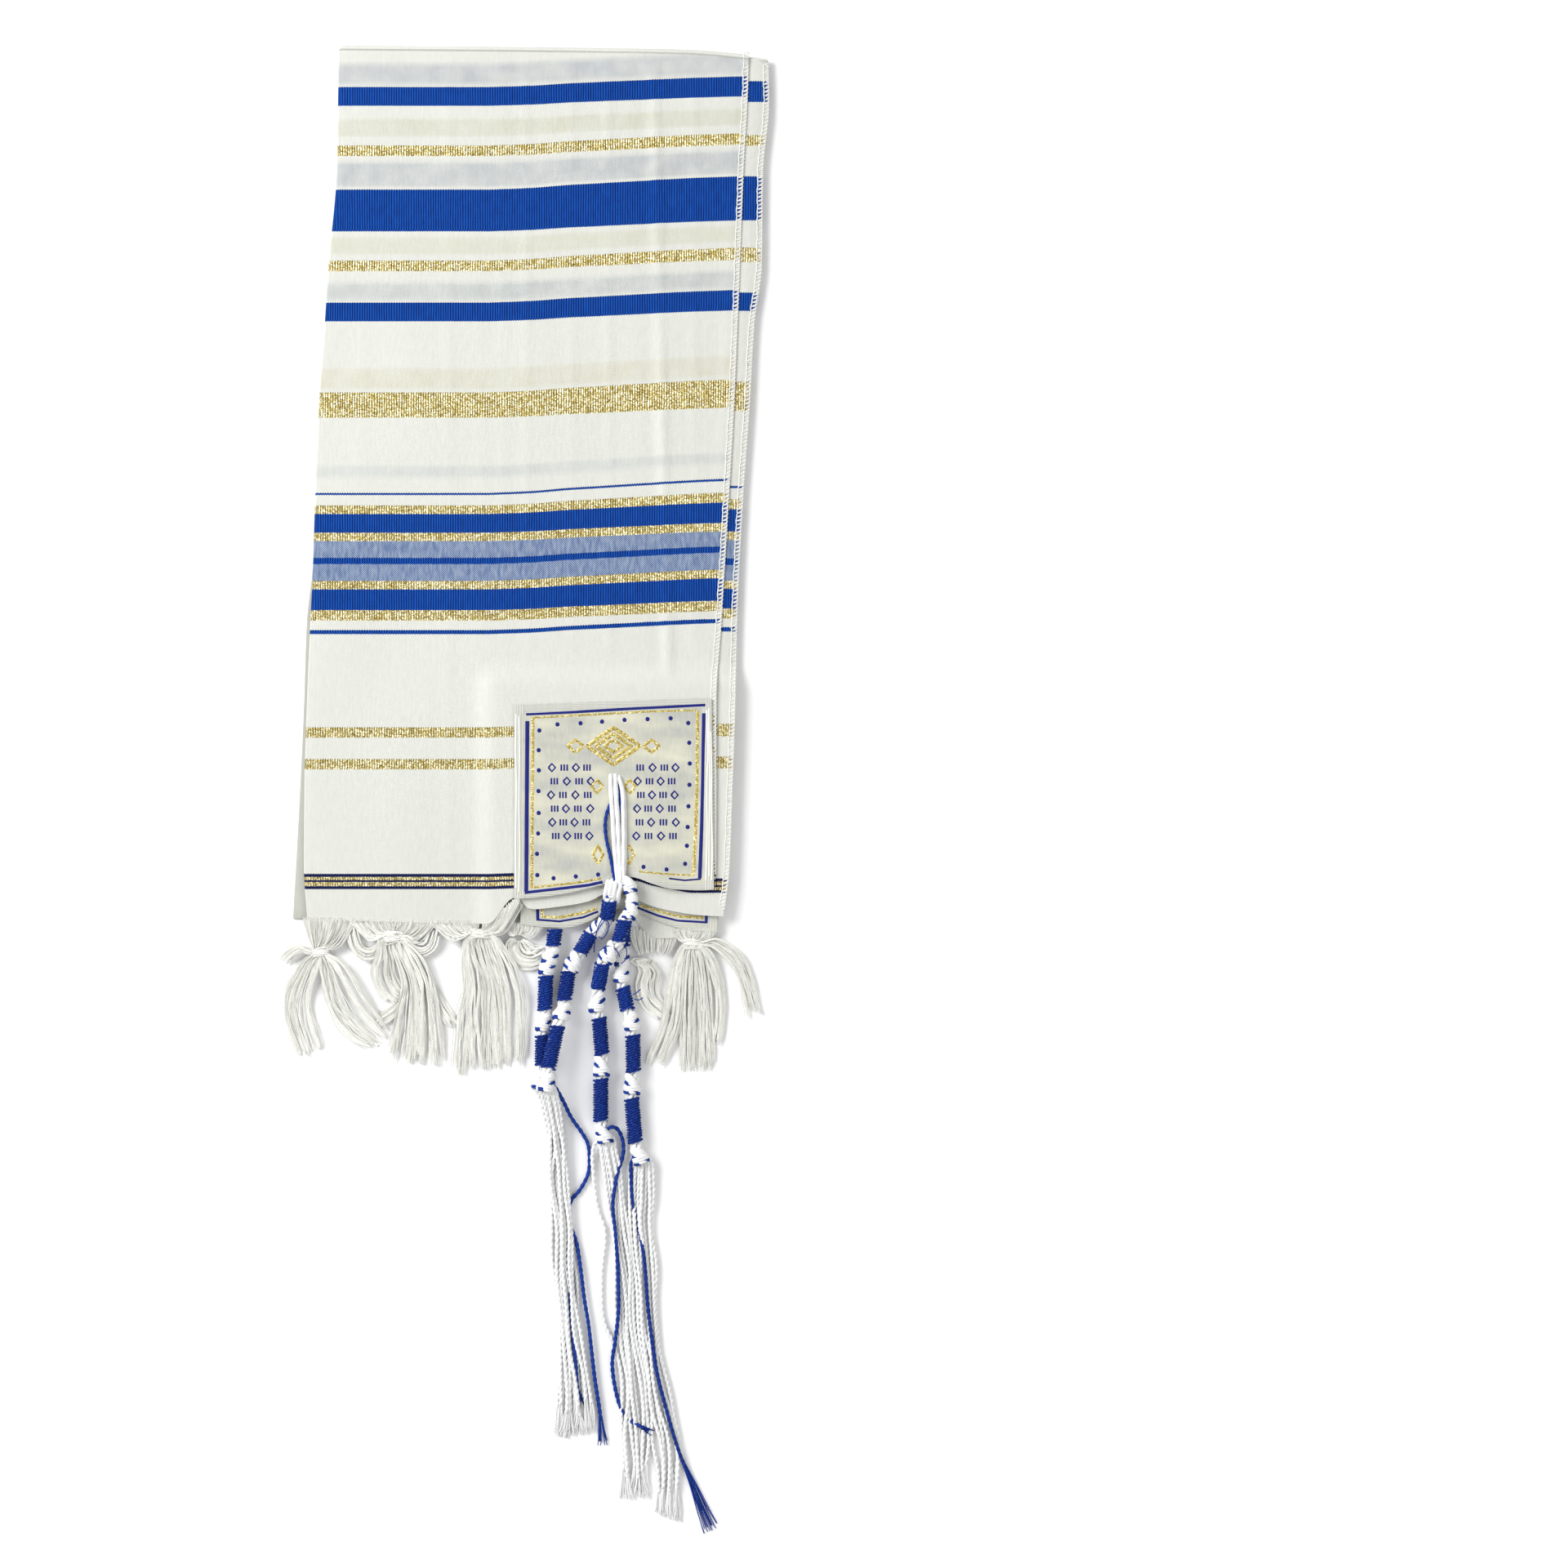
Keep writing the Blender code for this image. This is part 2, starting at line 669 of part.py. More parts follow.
def press_x(index, y):
    """Where a press line runs at y; the first is the left side and the last the right one."""
    if index == 0:
        return read_row(SIDES, "y", "front_left", y) + LEFT_FOLD_RADIUS
    if index > len(PRESS_LINES):
        return read_row(SIDES, "y", "front_right", y)
    line = PRESS_LINES[index - 1]
    share = (SIDES[0].y - y) / (SIDES[0].y - SIDES[-1].y)
    return line.x_top + (line.x_bottom - line.x_top) * share


def column_x(column, y):
    """Where a grid column runs at y."""
    index, share = COLUMNS[column]
    start = press_x(index, y)
    return start + (press_x(index + 1, y) - start) * share if share else start


def place_column(column, y_of_x):
    """Where a grid column meets a cross section whose y differs with x."""
    return column_x(column, y_of_x(column_x(column, y_of_x(0.0))))


def section_y(y, x):
    """A cross section's place at x; sections near the top end slant with it."""
    near_top = max(0.0, 1 - (TOP_END[0].y - y) / TOP_SLANT_REACH)
    return y + (top_end(x) - TOP_END[0].y) * near_top


def is_lifted(column, y):
    """1 where the sewn patches lie below, else 0."""
    return 1.0 if column >= FIRST_LIFTED_COLUMN and y < PATCH_STARTS_BELOW else 0.0


def pressed_height(column, y):
    """How far a press line stands up; the lines fade at the patches and differ along the cloth."""
    index, share = COLUMNS[column]
    if share or index == 0 or index > len(PRESS_LINES):
        return 0.0
    uneven = 0.75 + 0.25 * math.sin(y / 47.0 + 2.1 * index)
    return PRESS_LINES[index - 1].height * uneven * (1 - is_lifted(column, y))


def grid_mesh(name, grid):
    """A sheet's mesh from rows of points, top row first and left point first, facing up."""
    mesh = bpy.data.meshes.new(name)
    across = len(grid[0])
    faces = []
    for i in range(len(grid) - 1):
        for j in range(across - 1):
            corner = i * across + j
            faces.append((corner, corner + across, corner + across + 1, corner + 1))
    mesh.from_pydata([point for row in grid for point in row], [], faces)
    return mesh


def add_sheet(name, grid, wall, finish):
    """A cloth wall: the sheet of its upper side, thickened downwards."""
    piece = add_piece(name, grid_mesh(name, grid), finish)
    thicken = piece.modifiers.new("thickness", "SOLIDIFY")
    thicken.thickness = wall * MM
    thicken.offset = -1.0
    thicken.use_even_offset = True
    return piece


def fold_over_top(x, radius, angle, depth=0.0):
    """A point on the fold at the top end, by its angle from straight up and depth in the fold."""
    turn = math.radians(angle)
    middle_y = top_end(x) - TOP_FOLD_RADIUS
    reach = radius - depth
    return middle_y + reach * math.sin(turn), TOP_FOLD_RADIUS + reach * math.cos(turn)


def front_row(y_of_x, height, top_angle=0.0, y_for_lift=None):
    """One cross section of the front layer, from the fold at the left side to the right selvedge."""
    row = []
    side_x = place_column(0, y_of_x) - LEFT_FOLD_RADIUS
    opened = 1 - TOP_CORNER_OPENING * min(1.0, top_angle / 90.0)
    for angle in LEFT_FOLD_ANGLES:
        softened = math.radians(angle * opened)
        x = side_x + LEFT_FOLD_RADIUS * (1 - math.sin(softened))
        depth = LEFT_FOLD_RADIUS * (1 - math.cos(softened))
        if top_angle:
            y, z = fold_over_top(x, TOP_FOLD_RADIUS, top_angle, depth)
        else:
            y, z = y_of_x(x), height - depth
        row.append(Vector((x, y, z)))
    for column in range(len(COLUMNS)):
        x = place_column(column, y_of_x)
        if top_angle:
            y, z = fold_over_top(x, TOP_FOLD_RADIUS, top_angle)
        else:
            y = y_of_x(x)
            lift_y = y if y_for_lift is None else y_for_lift
            z = height + pressed_height(column, lift_y) + PATCH_LIFT * is_lifted(column, lift_y)
        row.append(Vector((x, y, z)))
    return row


def make_front_layer():
    """The top layer, folded round at the left side and over the top end."""
    grid = []
    for angle in TOP_FOLD_ANGLES:
        grid.append(front_row(lambda x: section_y(SIDES[0].y, x), FRONT_TOP, angle))
    for y in SECTION_YS + PATCH_SECTION_YS:
        grid.append(front_row(lambda x, y=y: section_y(y, x), FRONT_TOP, 0.0, y))
    last = PATCH_SECTION_YS[-1]
    for share in (0.5, 1.0):
        grid.append(
            front_row(lambda x, s=share: last + (hem_end(x, "front") - last) * s, FRONT_TOP, 0.0, last)
        )
    return add_sheet("front_layer", grid, CLOTH, WHITE_CLOTH)


def coarse_columns():
    """The columns that the hidden layers use: all that the lift needs, and few others."""
    return [0, 3, 6, 7, 8, 9, 10, 12, 14, 16, len(COLUMNS) - 1]


def layer_rows(layer):
    """The cross sections of a lower layer: each the y that its lift follows, and its y at any x."""
    rows = []
    for y in COARSE_SECTION_YS + PATCH_SECTION_YS:
        rows.append((y, lambda x, y=y: section_y(y, x)))
    last = PATCH_SECTION_YS[-1]
    for share in (0.5, 1.0):
        rows.append((last, lambda x, s=share: last + (hem_end(x, layer) - last) * s))
    return rows


def make_second_layer():
    """The second layer; its selvedge stands out past the front layer's at the right side."""
    hidden_left = 4.0
    steps_past_front = (0.5, 1.0)

    def cross_section(lift_y, y_of_x, top_angle=0.0):
        row = []
        for column in coarse_columns():
            x = place_column(column, y_of_x)
            if column == 0:
                x += hidden_left
            row.append((x, PATCH_LIFT * is_lifted(column, lift_y)))
        edge = read_row(SIDES, "y", "second_right", y_of_x(100.0))
        start = row[-1][0]
        row += [(start + (edge - start) * step, row[-1][1]) for step in steps_past_front]
        points = []
        for x, lift in row:
            if top_angle:
                y, z = fold_over_top(x, SECOND_FOLD_RADIUS, top_angle)
            else:
                y, z = y_of_x(x), SECOND_TOP + lift
            points.append(Vector((x, y, z)))
        return points

    top_y = SIDES[0].y
    grid = [cross_section(top_y, lambda x: section_y(top_y, x), angle) for angle in TOP_FOLD_ANGLES]
    grid += [cross_section(lift_y, y_of_x) for lift_y, y_of_x in layer_rows("second")]
    return add_sheet("second_layer", grid, CLOTH, WHITE_CLOTH)


def make_fold_core():
    """The hidden layers as one solid whose rim is layered all round."""
    side_inset = 2.4
    rows = layer_rows("core")
    columns = coarse_columns()
    bm = bmesh.new()
    upper, lower = [], []
    for index, (lift_y, y_of_x) in enumerate(rows):
        upper_row, lower_row = [], []
        for column in columns:
            x = place_column(column, y_of_x)
            if column == columns[0]:
                x += side_inset
            if column == columns[-1]:
                edge = read_row(SIDES, "y", "second_right", y_of_x(100.0))
                x = edge - side_inset
            y = y_of_x(x)
            if index == 0:
                y = top_end(x) - TOP_FOLD_RADIUS - side_inset
            raised = PATCH_STEP * is_lifted(column, lift_y)
            upper_row.append(bm.verts.new((x, y, CORE_TOP)))
            lower_row.append(bm.verts.new((x, y, CORE_BOTTOM + raised)))
        upper.append(upper_row)
        lower.append(lower_row)
    for i in range(len(rows) - 1):
        for j in range(len(columns) - 1):
            bm.faces.new((upper[i][j], upper[i + 1][j], upper[i + 1][j + 1], upper[i][j + 1]))
            bm.faces.new((lower[i][j], lower[i][j + 1], lower[i + 1][j + 1], lower[i + 1][j]))
    rim = rim_places(len(rows), len(columns))
    rings = [[lower[i][j] for i, j, _ in rim]]
    for level in CORE_RIM:
        ring = []
        for i, j, outward in rim:
            low, high = lower[i][j].co, upper[i][j].co
            ring.append(bm.verts.new(low.lerp(high, level.share) + outward * level.outset))
        rings.append(ring)
    rings.append([upper[i][j] for i, j, _ in rim])
    join_rings(bm, rings)
    return add_solid("fold_core", bm, WHITE_CLOTH)


def rim_places(rows, columns):
    """The places round a grid, clockwise from its first corner, with the way that faces out."""
    places = [(0, j, (0, 1)) for j in range(columns - 1)]
    places += [(i, columns - 1, (1, 0)) for i in range(rows - 1)]
    places += [(rows - 1, j, (0, -1)) for j in range(columns - 1, 0, -1)]
    places += [(i, 0, (-1, 0)) for i in range(rows - 1, 0, -1)]
    corners = {
        (0, 0): (-0.7, 0.7),
        (0, columns - 1): (0.7, 0.7),
        (rows - 1, columns - 1): (0.7, -0.7),
        (rows - 1, 0): (-0.7, -0.7),
    }
    return [(i, j, Vector((*corners.get((i, j), way), 0))) for i, j, way in places]


def join_rings(bm, rings):
    """Joins closed rings of points, each to the next, with quads."""
    count = len(rings[0])
    for ring, following in zip(rings, rings[1:]):
        for k in range(count):
            after = (k + 1) % count
            bm.faces.new((ring[k], ring[after], following[after], following[k]))


def add_solid(name, bm, finish):
    """Turns a closed bmesh's faces outwards and adds it as a piece."""
    bmesh.ops.recalc_face_normals(bm, faces=bm.faces[:])
    mesh = bpy.data.meshes.new(name)
    bm.to_mesh(mesh)
    bm.free()
    return add_piece(name, mesh, finish)


def make_back_layer():
    """The bottom layer, flat on the ground; its fold shows along the lower left side."""
    right_inset = 4.0
    grid = []
    for y in COARSE_SECTION_YS + PATCH_SECTION_YS[1:3] + [BACK_END]:
        first = y == COARSE_SECTION_YS[0]
        left = read_row(SIDES, "y", "back_left", y)
        right = read_row(SIDES, "y", "second_right", y) - right_inset
        row = []
        for share in (0.0, 0.33, 0.67, 1.0):
            x = left + (right - left) * share
            row_y = top_end(x) - TOP_FOLD_RADIUS - GAP if first else y
            row.append(Vector((x, row_y, BACK_TOP)))
        grid.append(row)
    return add_sheet("back_layer", grid, CLOTH, WHITE_CLOTH)


def make_patch(plan):
    """A corner patch, flat but for its lower edge, which the knot draws up and waves."""
    grid = []
    for i in range(PATCH_ROWS + 1):
        down = i / PATCH_ROWS
        row = []
        for j in range(PATCH_COLUMNS + 1):
            across = j / PATCH_COLUMNS
            right = plan.right_top + (plan.right_bottom - plan.right_top) * down
            x = plan.left + (right - plan.left) * across
            top = plan.top_left + (plan.top_right - plan.top_left) * across
            bottom = read_row(PATCH_EDGES, "x", plan.edge, x)
            z = plan.bottom_z + PATCH
            if plan.edge == "upper":
                z += read_row(PATCH_EDGES, "x", "wave", x) * down**4
            row.append(Vector((x, top + (bottom - top) * down, z)))
        grid.append(row)
    return add_sheet(plan.name, grid, PATCH, PATCH_CLOTH)


def ring_frame(tangent):
    """The directions to the side of and up from a path that runs along tangent."""
    side = Vector((0, 0, 1)).cross(tangent)
    side.normalize()
    return side, tangent.cross(side)


def path_tangents(points):
    """The direction of a path at each of its points."""
    last = len(points) - 1
    return [(points[min(k + 1, last)] - points[max(k - 1, 0)]).normalized() for k in range(last + 1)]


class CordRing(NamedTuple):
    """A ring of a cord: its middle, its radius, and how flat it is."""

    middle: Vector
    radius: float
    flat: float = 1.0


def cord_rings(stops):
    """The rings of a tassel's white cord, and the ends of its blue windings."""
    rings, sleeves = [], []
    start = None
    for k, stop in enumerate(stops):
        here = Vector((stop.x, stop.y, stop.z))
        if stop.kind == "loop":
            flat = LOOP_FLATNESS if stop.half_width > ROUND_LOOP_HALF_WIDTH else 1.0
            rings.append(CordRing(here, stop.half_width, flat))
        elif stop.kind == "wind":
            start = here
        elif stop.kind == "end":
            along = (here - start).normalized()
            rings.append(CordRing(start - along * KNOT_CLEARANCE, CORD_IN_SLEEVE))
            rings.append(CordRing(here + along * KNOT_CLEARANCE, CORD_IN_SLEEVE))
            sleeves.append((start, here))
        else:
            before = Vector(stops[k - 1][1:4])
            after = Vector(stops[k + 1][1:4]) if k + 1 < len(stops) else here * 2 - before
            reach = stop.half_width * KNOT_SHOULDER_REACH
            shoulder = stop.half_width * KNOT_SHOULDER
            rings.append(CordRing(here + (before - here).normalized() * reach, shoulder))
            rings.append(CordRing(here, stop.half_width))
            rings.append(CordRing(here + (after - here).normalized() * reach, shoulder))
    return rings, sleeves


def ring_points(ring, side, up):
    """The points round one ring of a cord."""
    points = []
    for n in range(CORD_SIDES):
        turn = math.tau * (n + 0.5) / CORD_SIDES
        across = side * math.cos(turn) * ring.radius
        points.append(ring.middle + across + up * math.sin(turn) * ring.radius * ring.flat)
    return points


def grow(bm, face, points, half_sizes, round_strand=False):
    """Grows a four-sided strand out of a face, along points, and closes its end.

    half_sizes holds half the width and half the height at each point.
    """
    middle = face.calc_center_median()
    verts = list(face.verts)
    tangents = path_tangents([middle] + points)[1:]
    side, up = ring_frame((points[0] - middle).normalized())
    offsets = [vert.co - middle for vert in verts]
    angles = [math.atan2(offset.dot(up), offset.dot(side)) for offset in offsets]
    turning = math.remainder(angles[1] - angles[0], math.tau)
    bm.faces.remove(face)
    ring = verts
    for point, tangent, (half_width, half_height) in zip(points, tangents, half_sizes):
        side, up = ring_frame(tangent)
        new_ring = []
        for k, angle in enumerate(angles):
            if round_strand:
                angle = angles[0] + math.copysign(math.tau / 4, turning) * k
                across, above = math.cos(angle), math.sin(angle)
            else:
                across = math.copysign(1.0, math.cos(angle))
                above = math.copysign(1.0, math.sin(angle))
            new_ring.append(bm.verts.new(point + side * across * half_width + up * above * half_height))
        join_rings(bm, [ring, new_ring])
        ring = new_ring
    bm.faces.new(ring)


def tail_route(name, order, end_y):
    """The way of one white strand of a tassel, by its order from the left."""
    rows = TAILS[name]
    share = (2 * order - (STRANDS - 1)) / (STRANDS - 1)
    route = []
    for row in rows:
        y = max(row.y, end_y)
        middle = read_row(rows, "y", "middle", y)
        spread = read_row(rows, "y", "spread", y)
        route.append(Vector((middle + spread * share, y, read_row(rows, "y", "z", y))))
        if row.y <= end_y:
            break
    return route


def make_tassel(name):
    """A corner tassel: cord loop, knots, and eight strands that grow out of the last knot."""
    rings, sleeves = cord_rings(TASSEL_STOPS[name])
    bm = bmesh.new()
    tangents = path_tangents([ring.middle for ring in rings])
    loops = []
    for ring, tangent in zip(rings, tangents):
        side, up = ring_frame(tangent)
        loops.append([bm.verts.new(point) for point in ring_points(ring, side, up)])
    join_rings(bm, loops)
    bm.faces.new(list(reversed(loops[0])))
    last = rings[-1]
    side, up = ring_frame(tangents[-1])
    mouth = CordRing(last.middle + tangents[-1] * CORD_END_REACH, last.radius * CORD_END_SIZE)
    inner = [bm.verts.new(point) for point in ring_points(mouth, side, up)]
    join_rings(bm, [loops[-1], inner])
    bm.faces.new(inner)
    bmesh.ops.recalc_face_normals(bm, faces=bm.faces[:])
    bm.faces.ensure_lookup_table()
    roots = bm.faces[-1 - CORD_SIDES : -1]
    bmesh.ops.inset_individual(bm, faces=roots, thickness=STRAND_INSET, use_even_offset=True)

    def from_left(root):
        middle = root.calc_center_median()
        return round((middle - mouth.middle).dot(side), 2), middle.z

    for order, root in enumerate(sorted(roots, key=from_left)):
        uneven = 0.5 + 0.5 * math.sin(4.3 * order + last.middle.x)
        route = tail_route(name, order, TAILS[name][-1].y * (1 - TAIL_UNEVEN * uneven))
        steps = WHITE_STEPS
        if order == BLUE_ORDER.get(name):
            route = [Vector(row[:3]) for row in BLUE_ROUTES[name]]
            steps = BLUE_STEPS
        step_out = root.calc_center_median() + tangents[-1] * STRAND_STEP_OUT
        points = curve_points([step_out] + route, steps)
        radii = [STRAND_RADIUS * min(1.0, STRAND_START + STRAND_SWELL * n) for n in range(len(points))]
        grow(bm, root, points, [(radius, radius) for radius in radii], round_strand=True)
    add_solid(name, bm, WHITE_CORD)
    for number, (start, end) in enumerate(sleeves, start=1):
        make_winding(f"winding_{name[-1]}_{number}", start, end)


def make_winding(name, start, end):
    """The blue winding round a stretch of cord: a short open tube."""
    bm = bmesh.new()
    tangent = (end - start).normalized()
    side, up = ring_frame(tangent)
    rings = []
    for middle, radius in (
        (start, SLEEVE_RADIUS - SLEEVE_WALL),
        (start, SLEEVE_RADIUS),
        (end, SLEEVE_RADIUS),
        (end, SLEEVE_RADIUS - SLEEVE_WALL),
    ):
        rings.append([bm.verts.new(point) for point in ring_points(CordRing(middle, radius), side, up)])
    join_rings(bm, rings + [rings[0]])
    add_solid(name, bm, BLUE_CORD)


def knot_angles(knot):
    """The angles of a fringe knot's corners, clockwise, and which of its sides grow yarns."""
    angles, yarns = [], []
    for lock in knot.locks:
        for k in range(lock.yarns):
            share = k / lock.yarns
            angles.append(lock.first_angle + (lock.last_angle - lock.first_angle) * share)
            yarns.append((lock, k))
        angles.append(lock.last_angle)
        yarns.append(None)
    return [math.radians(angle) for angle in angles], yarns


def yarn_route(lock, order, root, outward):
    """The way of one yarn from its root, with half its width and height at each point."""
    share = 0.5 - (order + 0.5) / lock.yarns
    step_out = root + outward * YARN_STEP_OUT
    if lock.ends:
        first, last = Vector(lock.ends[0]), Vector(lock.ends[1])
        end = first.lerp(last, (order + 0.5) / lock.yarns)
        pitch = (last - first).cross((end - root).normalized()).length / lock.yarns
        width, height = HEM_YARN_SIZE
        return [step_out, end], [YARN_STEP_SIZE, (min(width, pitch * YARN_FILL / 2), height)]
    middles = [Vector(row[:3]) for row in lock.route]
    tangents = path_tangents([root] + middles)[1:]
    controls, sizes = [step_out], [YARN_STEP_SIZE]
    for row, middle, tangent in zip(lock.route, middles, tangents):
        side, _ = ring_frame(Vector((tangent.x, tangent.y, 0)))
        controls.append(middle + side * row.width * share)
        sizes.append((row.width / lock.yarns * YARN_FILL / 2, YARN_HEIGHT / 2))
    shortened = YARN_UNEVEN * (1 + math.sin(7.7 * order + root.x))
    controls[-1] -= Vector((tangents[-1].x, tangents[-1].y, 0)) * shortened
    return controls, sizes


def make_fringe(name, knot):
    """A knot of the fringe with its yarns, which grow out of its sides."""
    bm = bmesh.new()
    angles, yarns = knot_angles(knot)
    levels = (
        (-0.5, KNOT_CROWN),
        (-KNOT_BAND, 1.0),
        (KNOT_BAND, 1.0),
        (0.5, KNOT_CROWN),
    )
    rings = []
    for share, size in levels:
        ring = []
        for angle in angles:
            x = knot.x + math.cos(angle) * knot.radius_x * size
            y = knot.y + math.sin(angle) * knot.radius_y * size
            ring.append(bm.verts.new((x, y, knot.z + share * KNOT_HEIGHT)))
        rings.append(ring)
    join_rings(bm, rings[:2])
    join_rings(bm, rings[2:])
    bm.faces.new(rings[0])
    bm.faces.new(list(reversed(rings[3])))
    band = []
    count = len(angles)
    for k in range(count):
        after = (k + 1) % count
        band.append(bm.faces.new((rings[1][k], rings[1][after], rings[2][after], rings[2][k])))
    bmesh.ops.recalc_face_normals(bm, faces=bm.faces[:])
    growing = [(face, yarn) for face, yarn in zip(band, yarns) if yarn]
    bmesh.ops.inset_individual(bm, faces=[face for face, _ in growing], thickness=YARN_INSET)
    for face, (lock, order) in growing:
        root = face.calc_center_median()
        controls, sizes = yarn_route(lock, order, root, face.normal.copy())
        grow(bm, face, controls, sizes)
    add_solid(name, bm, FRINGE_YARN)


def main():
    """Makes every piece of the garment."""
    clear_scene()
    make_front_layer()
    make_second_layer()
    make_fold_core()
    make_back_layer()
    for plan in PATCHES:
        make_patch(plan)
    for name in TASSEL_STOPS:
        make_tassel(name)
    for name, knot in FRINGE.items():
        make_fringe(name, knot)


main()
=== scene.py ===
"""Dresses the folded prayer shawl: striped cloth, sewn patches, knotted tassels and a yarn fringe.

The tables hold millimetres, as the part's own source does. Every mesh is made in metres, in place.
"""

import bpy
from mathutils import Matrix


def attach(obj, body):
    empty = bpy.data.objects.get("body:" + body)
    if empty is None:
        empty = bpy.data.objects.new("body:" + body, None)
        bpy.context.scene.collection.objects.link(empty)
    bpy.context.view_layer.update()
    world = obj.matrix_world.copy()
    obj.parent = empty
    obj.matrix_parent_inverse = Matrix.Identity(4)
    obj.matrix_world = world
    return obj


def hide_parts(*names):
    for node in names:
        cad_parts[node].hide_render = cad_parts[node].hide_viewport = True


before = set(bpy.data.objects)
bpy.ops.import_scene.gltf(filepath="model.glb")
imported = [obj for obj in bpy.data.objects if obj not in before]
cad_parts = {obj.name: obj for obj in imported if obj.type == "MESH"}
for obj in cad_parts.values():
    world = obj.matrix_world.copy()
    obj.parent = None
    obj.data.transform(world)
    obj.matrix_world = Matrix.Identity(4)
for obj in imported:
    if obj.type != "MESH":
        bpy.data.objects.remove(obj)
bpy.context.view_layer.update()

import logging
import math
from collections.abc import Callable
from dataclasses import dataclass, field
from enum import Enum

import bpy
import numpy as np
from mathutils import Vector

logging.basicConfig(level=logging.INFO, format="%(message)s")
LOG = logging.getLogger("shawl")

Array = np.ndarray
Random = np.random.Generator
Colour = tuple[float, float, float, float]
Spot = tuple[float, float]
Point = tuple[float, float, float]
Rows = tuple[tuple[float, ...], ...]
Entries = tuple[tuple[tuple[float, ...], Rows], ...]
Material = bpy.types.Material
Piece = bpy.types.Object
Socket = bpy.types.NodeSocket
Node = bpy.types.Node
Tree = bpy.types.NodeTree

MM = 0.001
BODY = "root"

# Heights of the stack, as in the solids
FRONT_TOP = 6.3
SECOND_TOP = 5.0
CORE_TOP = 3.7
CORE_BOTTOM = 1.3
BACK_TOP = 1.0
PATCH_LIFT = 2.6
PATCH_STEP = 1.3
LEFT_FOLD_RADIUS = 1.6
TOP_FOLD_RADIUS = 3.15
# The cloth map's height at the top end, where no stripe is
TOP_WEFT = 385.0
SHEET_GAP = 0.02


def table(text: str) -> Rows:
    """Reads rows of numbers, parted by semicolons."""
    return tuple(tuple(float(part) for part in row.split()) for row in text.split(";"))


def numbers(text: str) -> tuple[float, ...]:
    """Reads one row of numbers."""
    return table(text)[0]


def tables(text: str) -> tuple[Rows, ...]:
    """Reads several tables, parted by strokes."""
    return tuple(table(part) for part in text.split("/"))


def entries(text: str) -> Entries:
    """Reads one entry on each line: its own numbers, a colon and its rows."""
    lines = [line.split(":") for line in text.strip().splitlines()]
    return tuple((table(lead)[0], table(rows)) for lead, rows in lines)


@dataclass(frozen=True)
class Profile:
    """A smooth curve through a table's points that never swings past them."""

    places: tuple[float, ...]
    values: tuple[float, ...]

    def at(self, where: Array | float) -> Array:
        """Reads the curve.

        Args:
            where: Places along the table, in any order.

        Returns:
            The curve's value at each place.
        """
        order = np.argsort(self.places)
        places = np.asarray(self.places, float)[order]
        values = np.asarray(self.values, float)[order]
        step = np.diff(places)
        slope = np.diff(values) / step
        same_way = slope[:-1] * slope[1:] > 0
        total = np.where(same_way, slope[:-1] + slope[1:], 1.0)
        inner = np.where(same_way, 2 * slope[:-1] * slope[1:] / total, 0.0)
        slopes = np.concatenate([slope[:1], inner, slope[-1:]])
        at = np.clip(np.asarray(where, float), places[0], places[-1])
        k = np.clip(np.searchsorted(places, at, side="right") - 1, 0, len(step) - 1)
        t = (at - places[k]) / step[k]
        return (
            values[k] * (2 * t**3 - 3 * t**2 + 1)
            + slopes[k] * step[k] * (t**3 - 2 * t**2 + t)
            + values[k + 1] * (3 * t**2 - 2 * t**3)
            + slopes[k + 1] * step[k] * (t**3 - t**2)
        )


SIDE_YS = numbers("382 353 317 270 240 200 152 112 87 44 0 -41 -67")
FRONT_LEFT = Profile(SIDE_YS, numbers("""
    -94.7 -95 -95.7 -99.8 -101.8 -104.7 -106.7 -108 -109.2 -111 -112.3 -112.5 -110.7
"""))
FRONT_RIGHT = Profile(SIDE_YS, numbers("""
    115.9 114.9 112.9 111.1 109.9 108.2 105.5 103.1 101.6 99 99 98.8 98.6
"""))
SECOND_RIGHT = Profile(SIDE_YS, numbers("""
    125.5 126 122.9 122.3 118.5 116.2 112.8 110.6 109.6 108.7 107.2 105.6 102.3
"""))
BACK_LEFT = Profile(SIDE_YS, numbers("""
    -93 -93 -94 -98 -100 -103 -105.6 -108.7 -111.5 -113 -115 -117.2 -118.7
"""))
TOP_END = Profile((-95.0, 0.0, 83.0, 126.0), (382.4, 381.6, 380.3, 376.6))
HEM_XS = numbers("-113 -60 -18 -4.5 4 20.4 33.8 43.5 52 60 67 77 87 98.8 106")
FRONT_HEM = Profile(HEM_XS, numbers("""
    -66.2 -67.6 -68.4 -55 -54.5 -52.5 -49.6 -47 -43.5 -43.2 -44.2 -47.4 -48.6 -45.6 -45.6
"""))
SECOND_HEM = Profile(HEM_XS, numbers("""
    -63 -64 -64 -54 -61 -59.4 -56.9 -52.8 -52.8 -56.9 -59.6 -62 -63.6 -64.5 -64.7
"""))
CORE_HEM = Profile(HEM_XS, numbers("""
    -61.5 -62.5 -62.5 -57 -66.2 -67 -63.5 -60 -60 -70 -76 -76 -72 -67.6 -66.8
"""))
BACK_END = -66.2

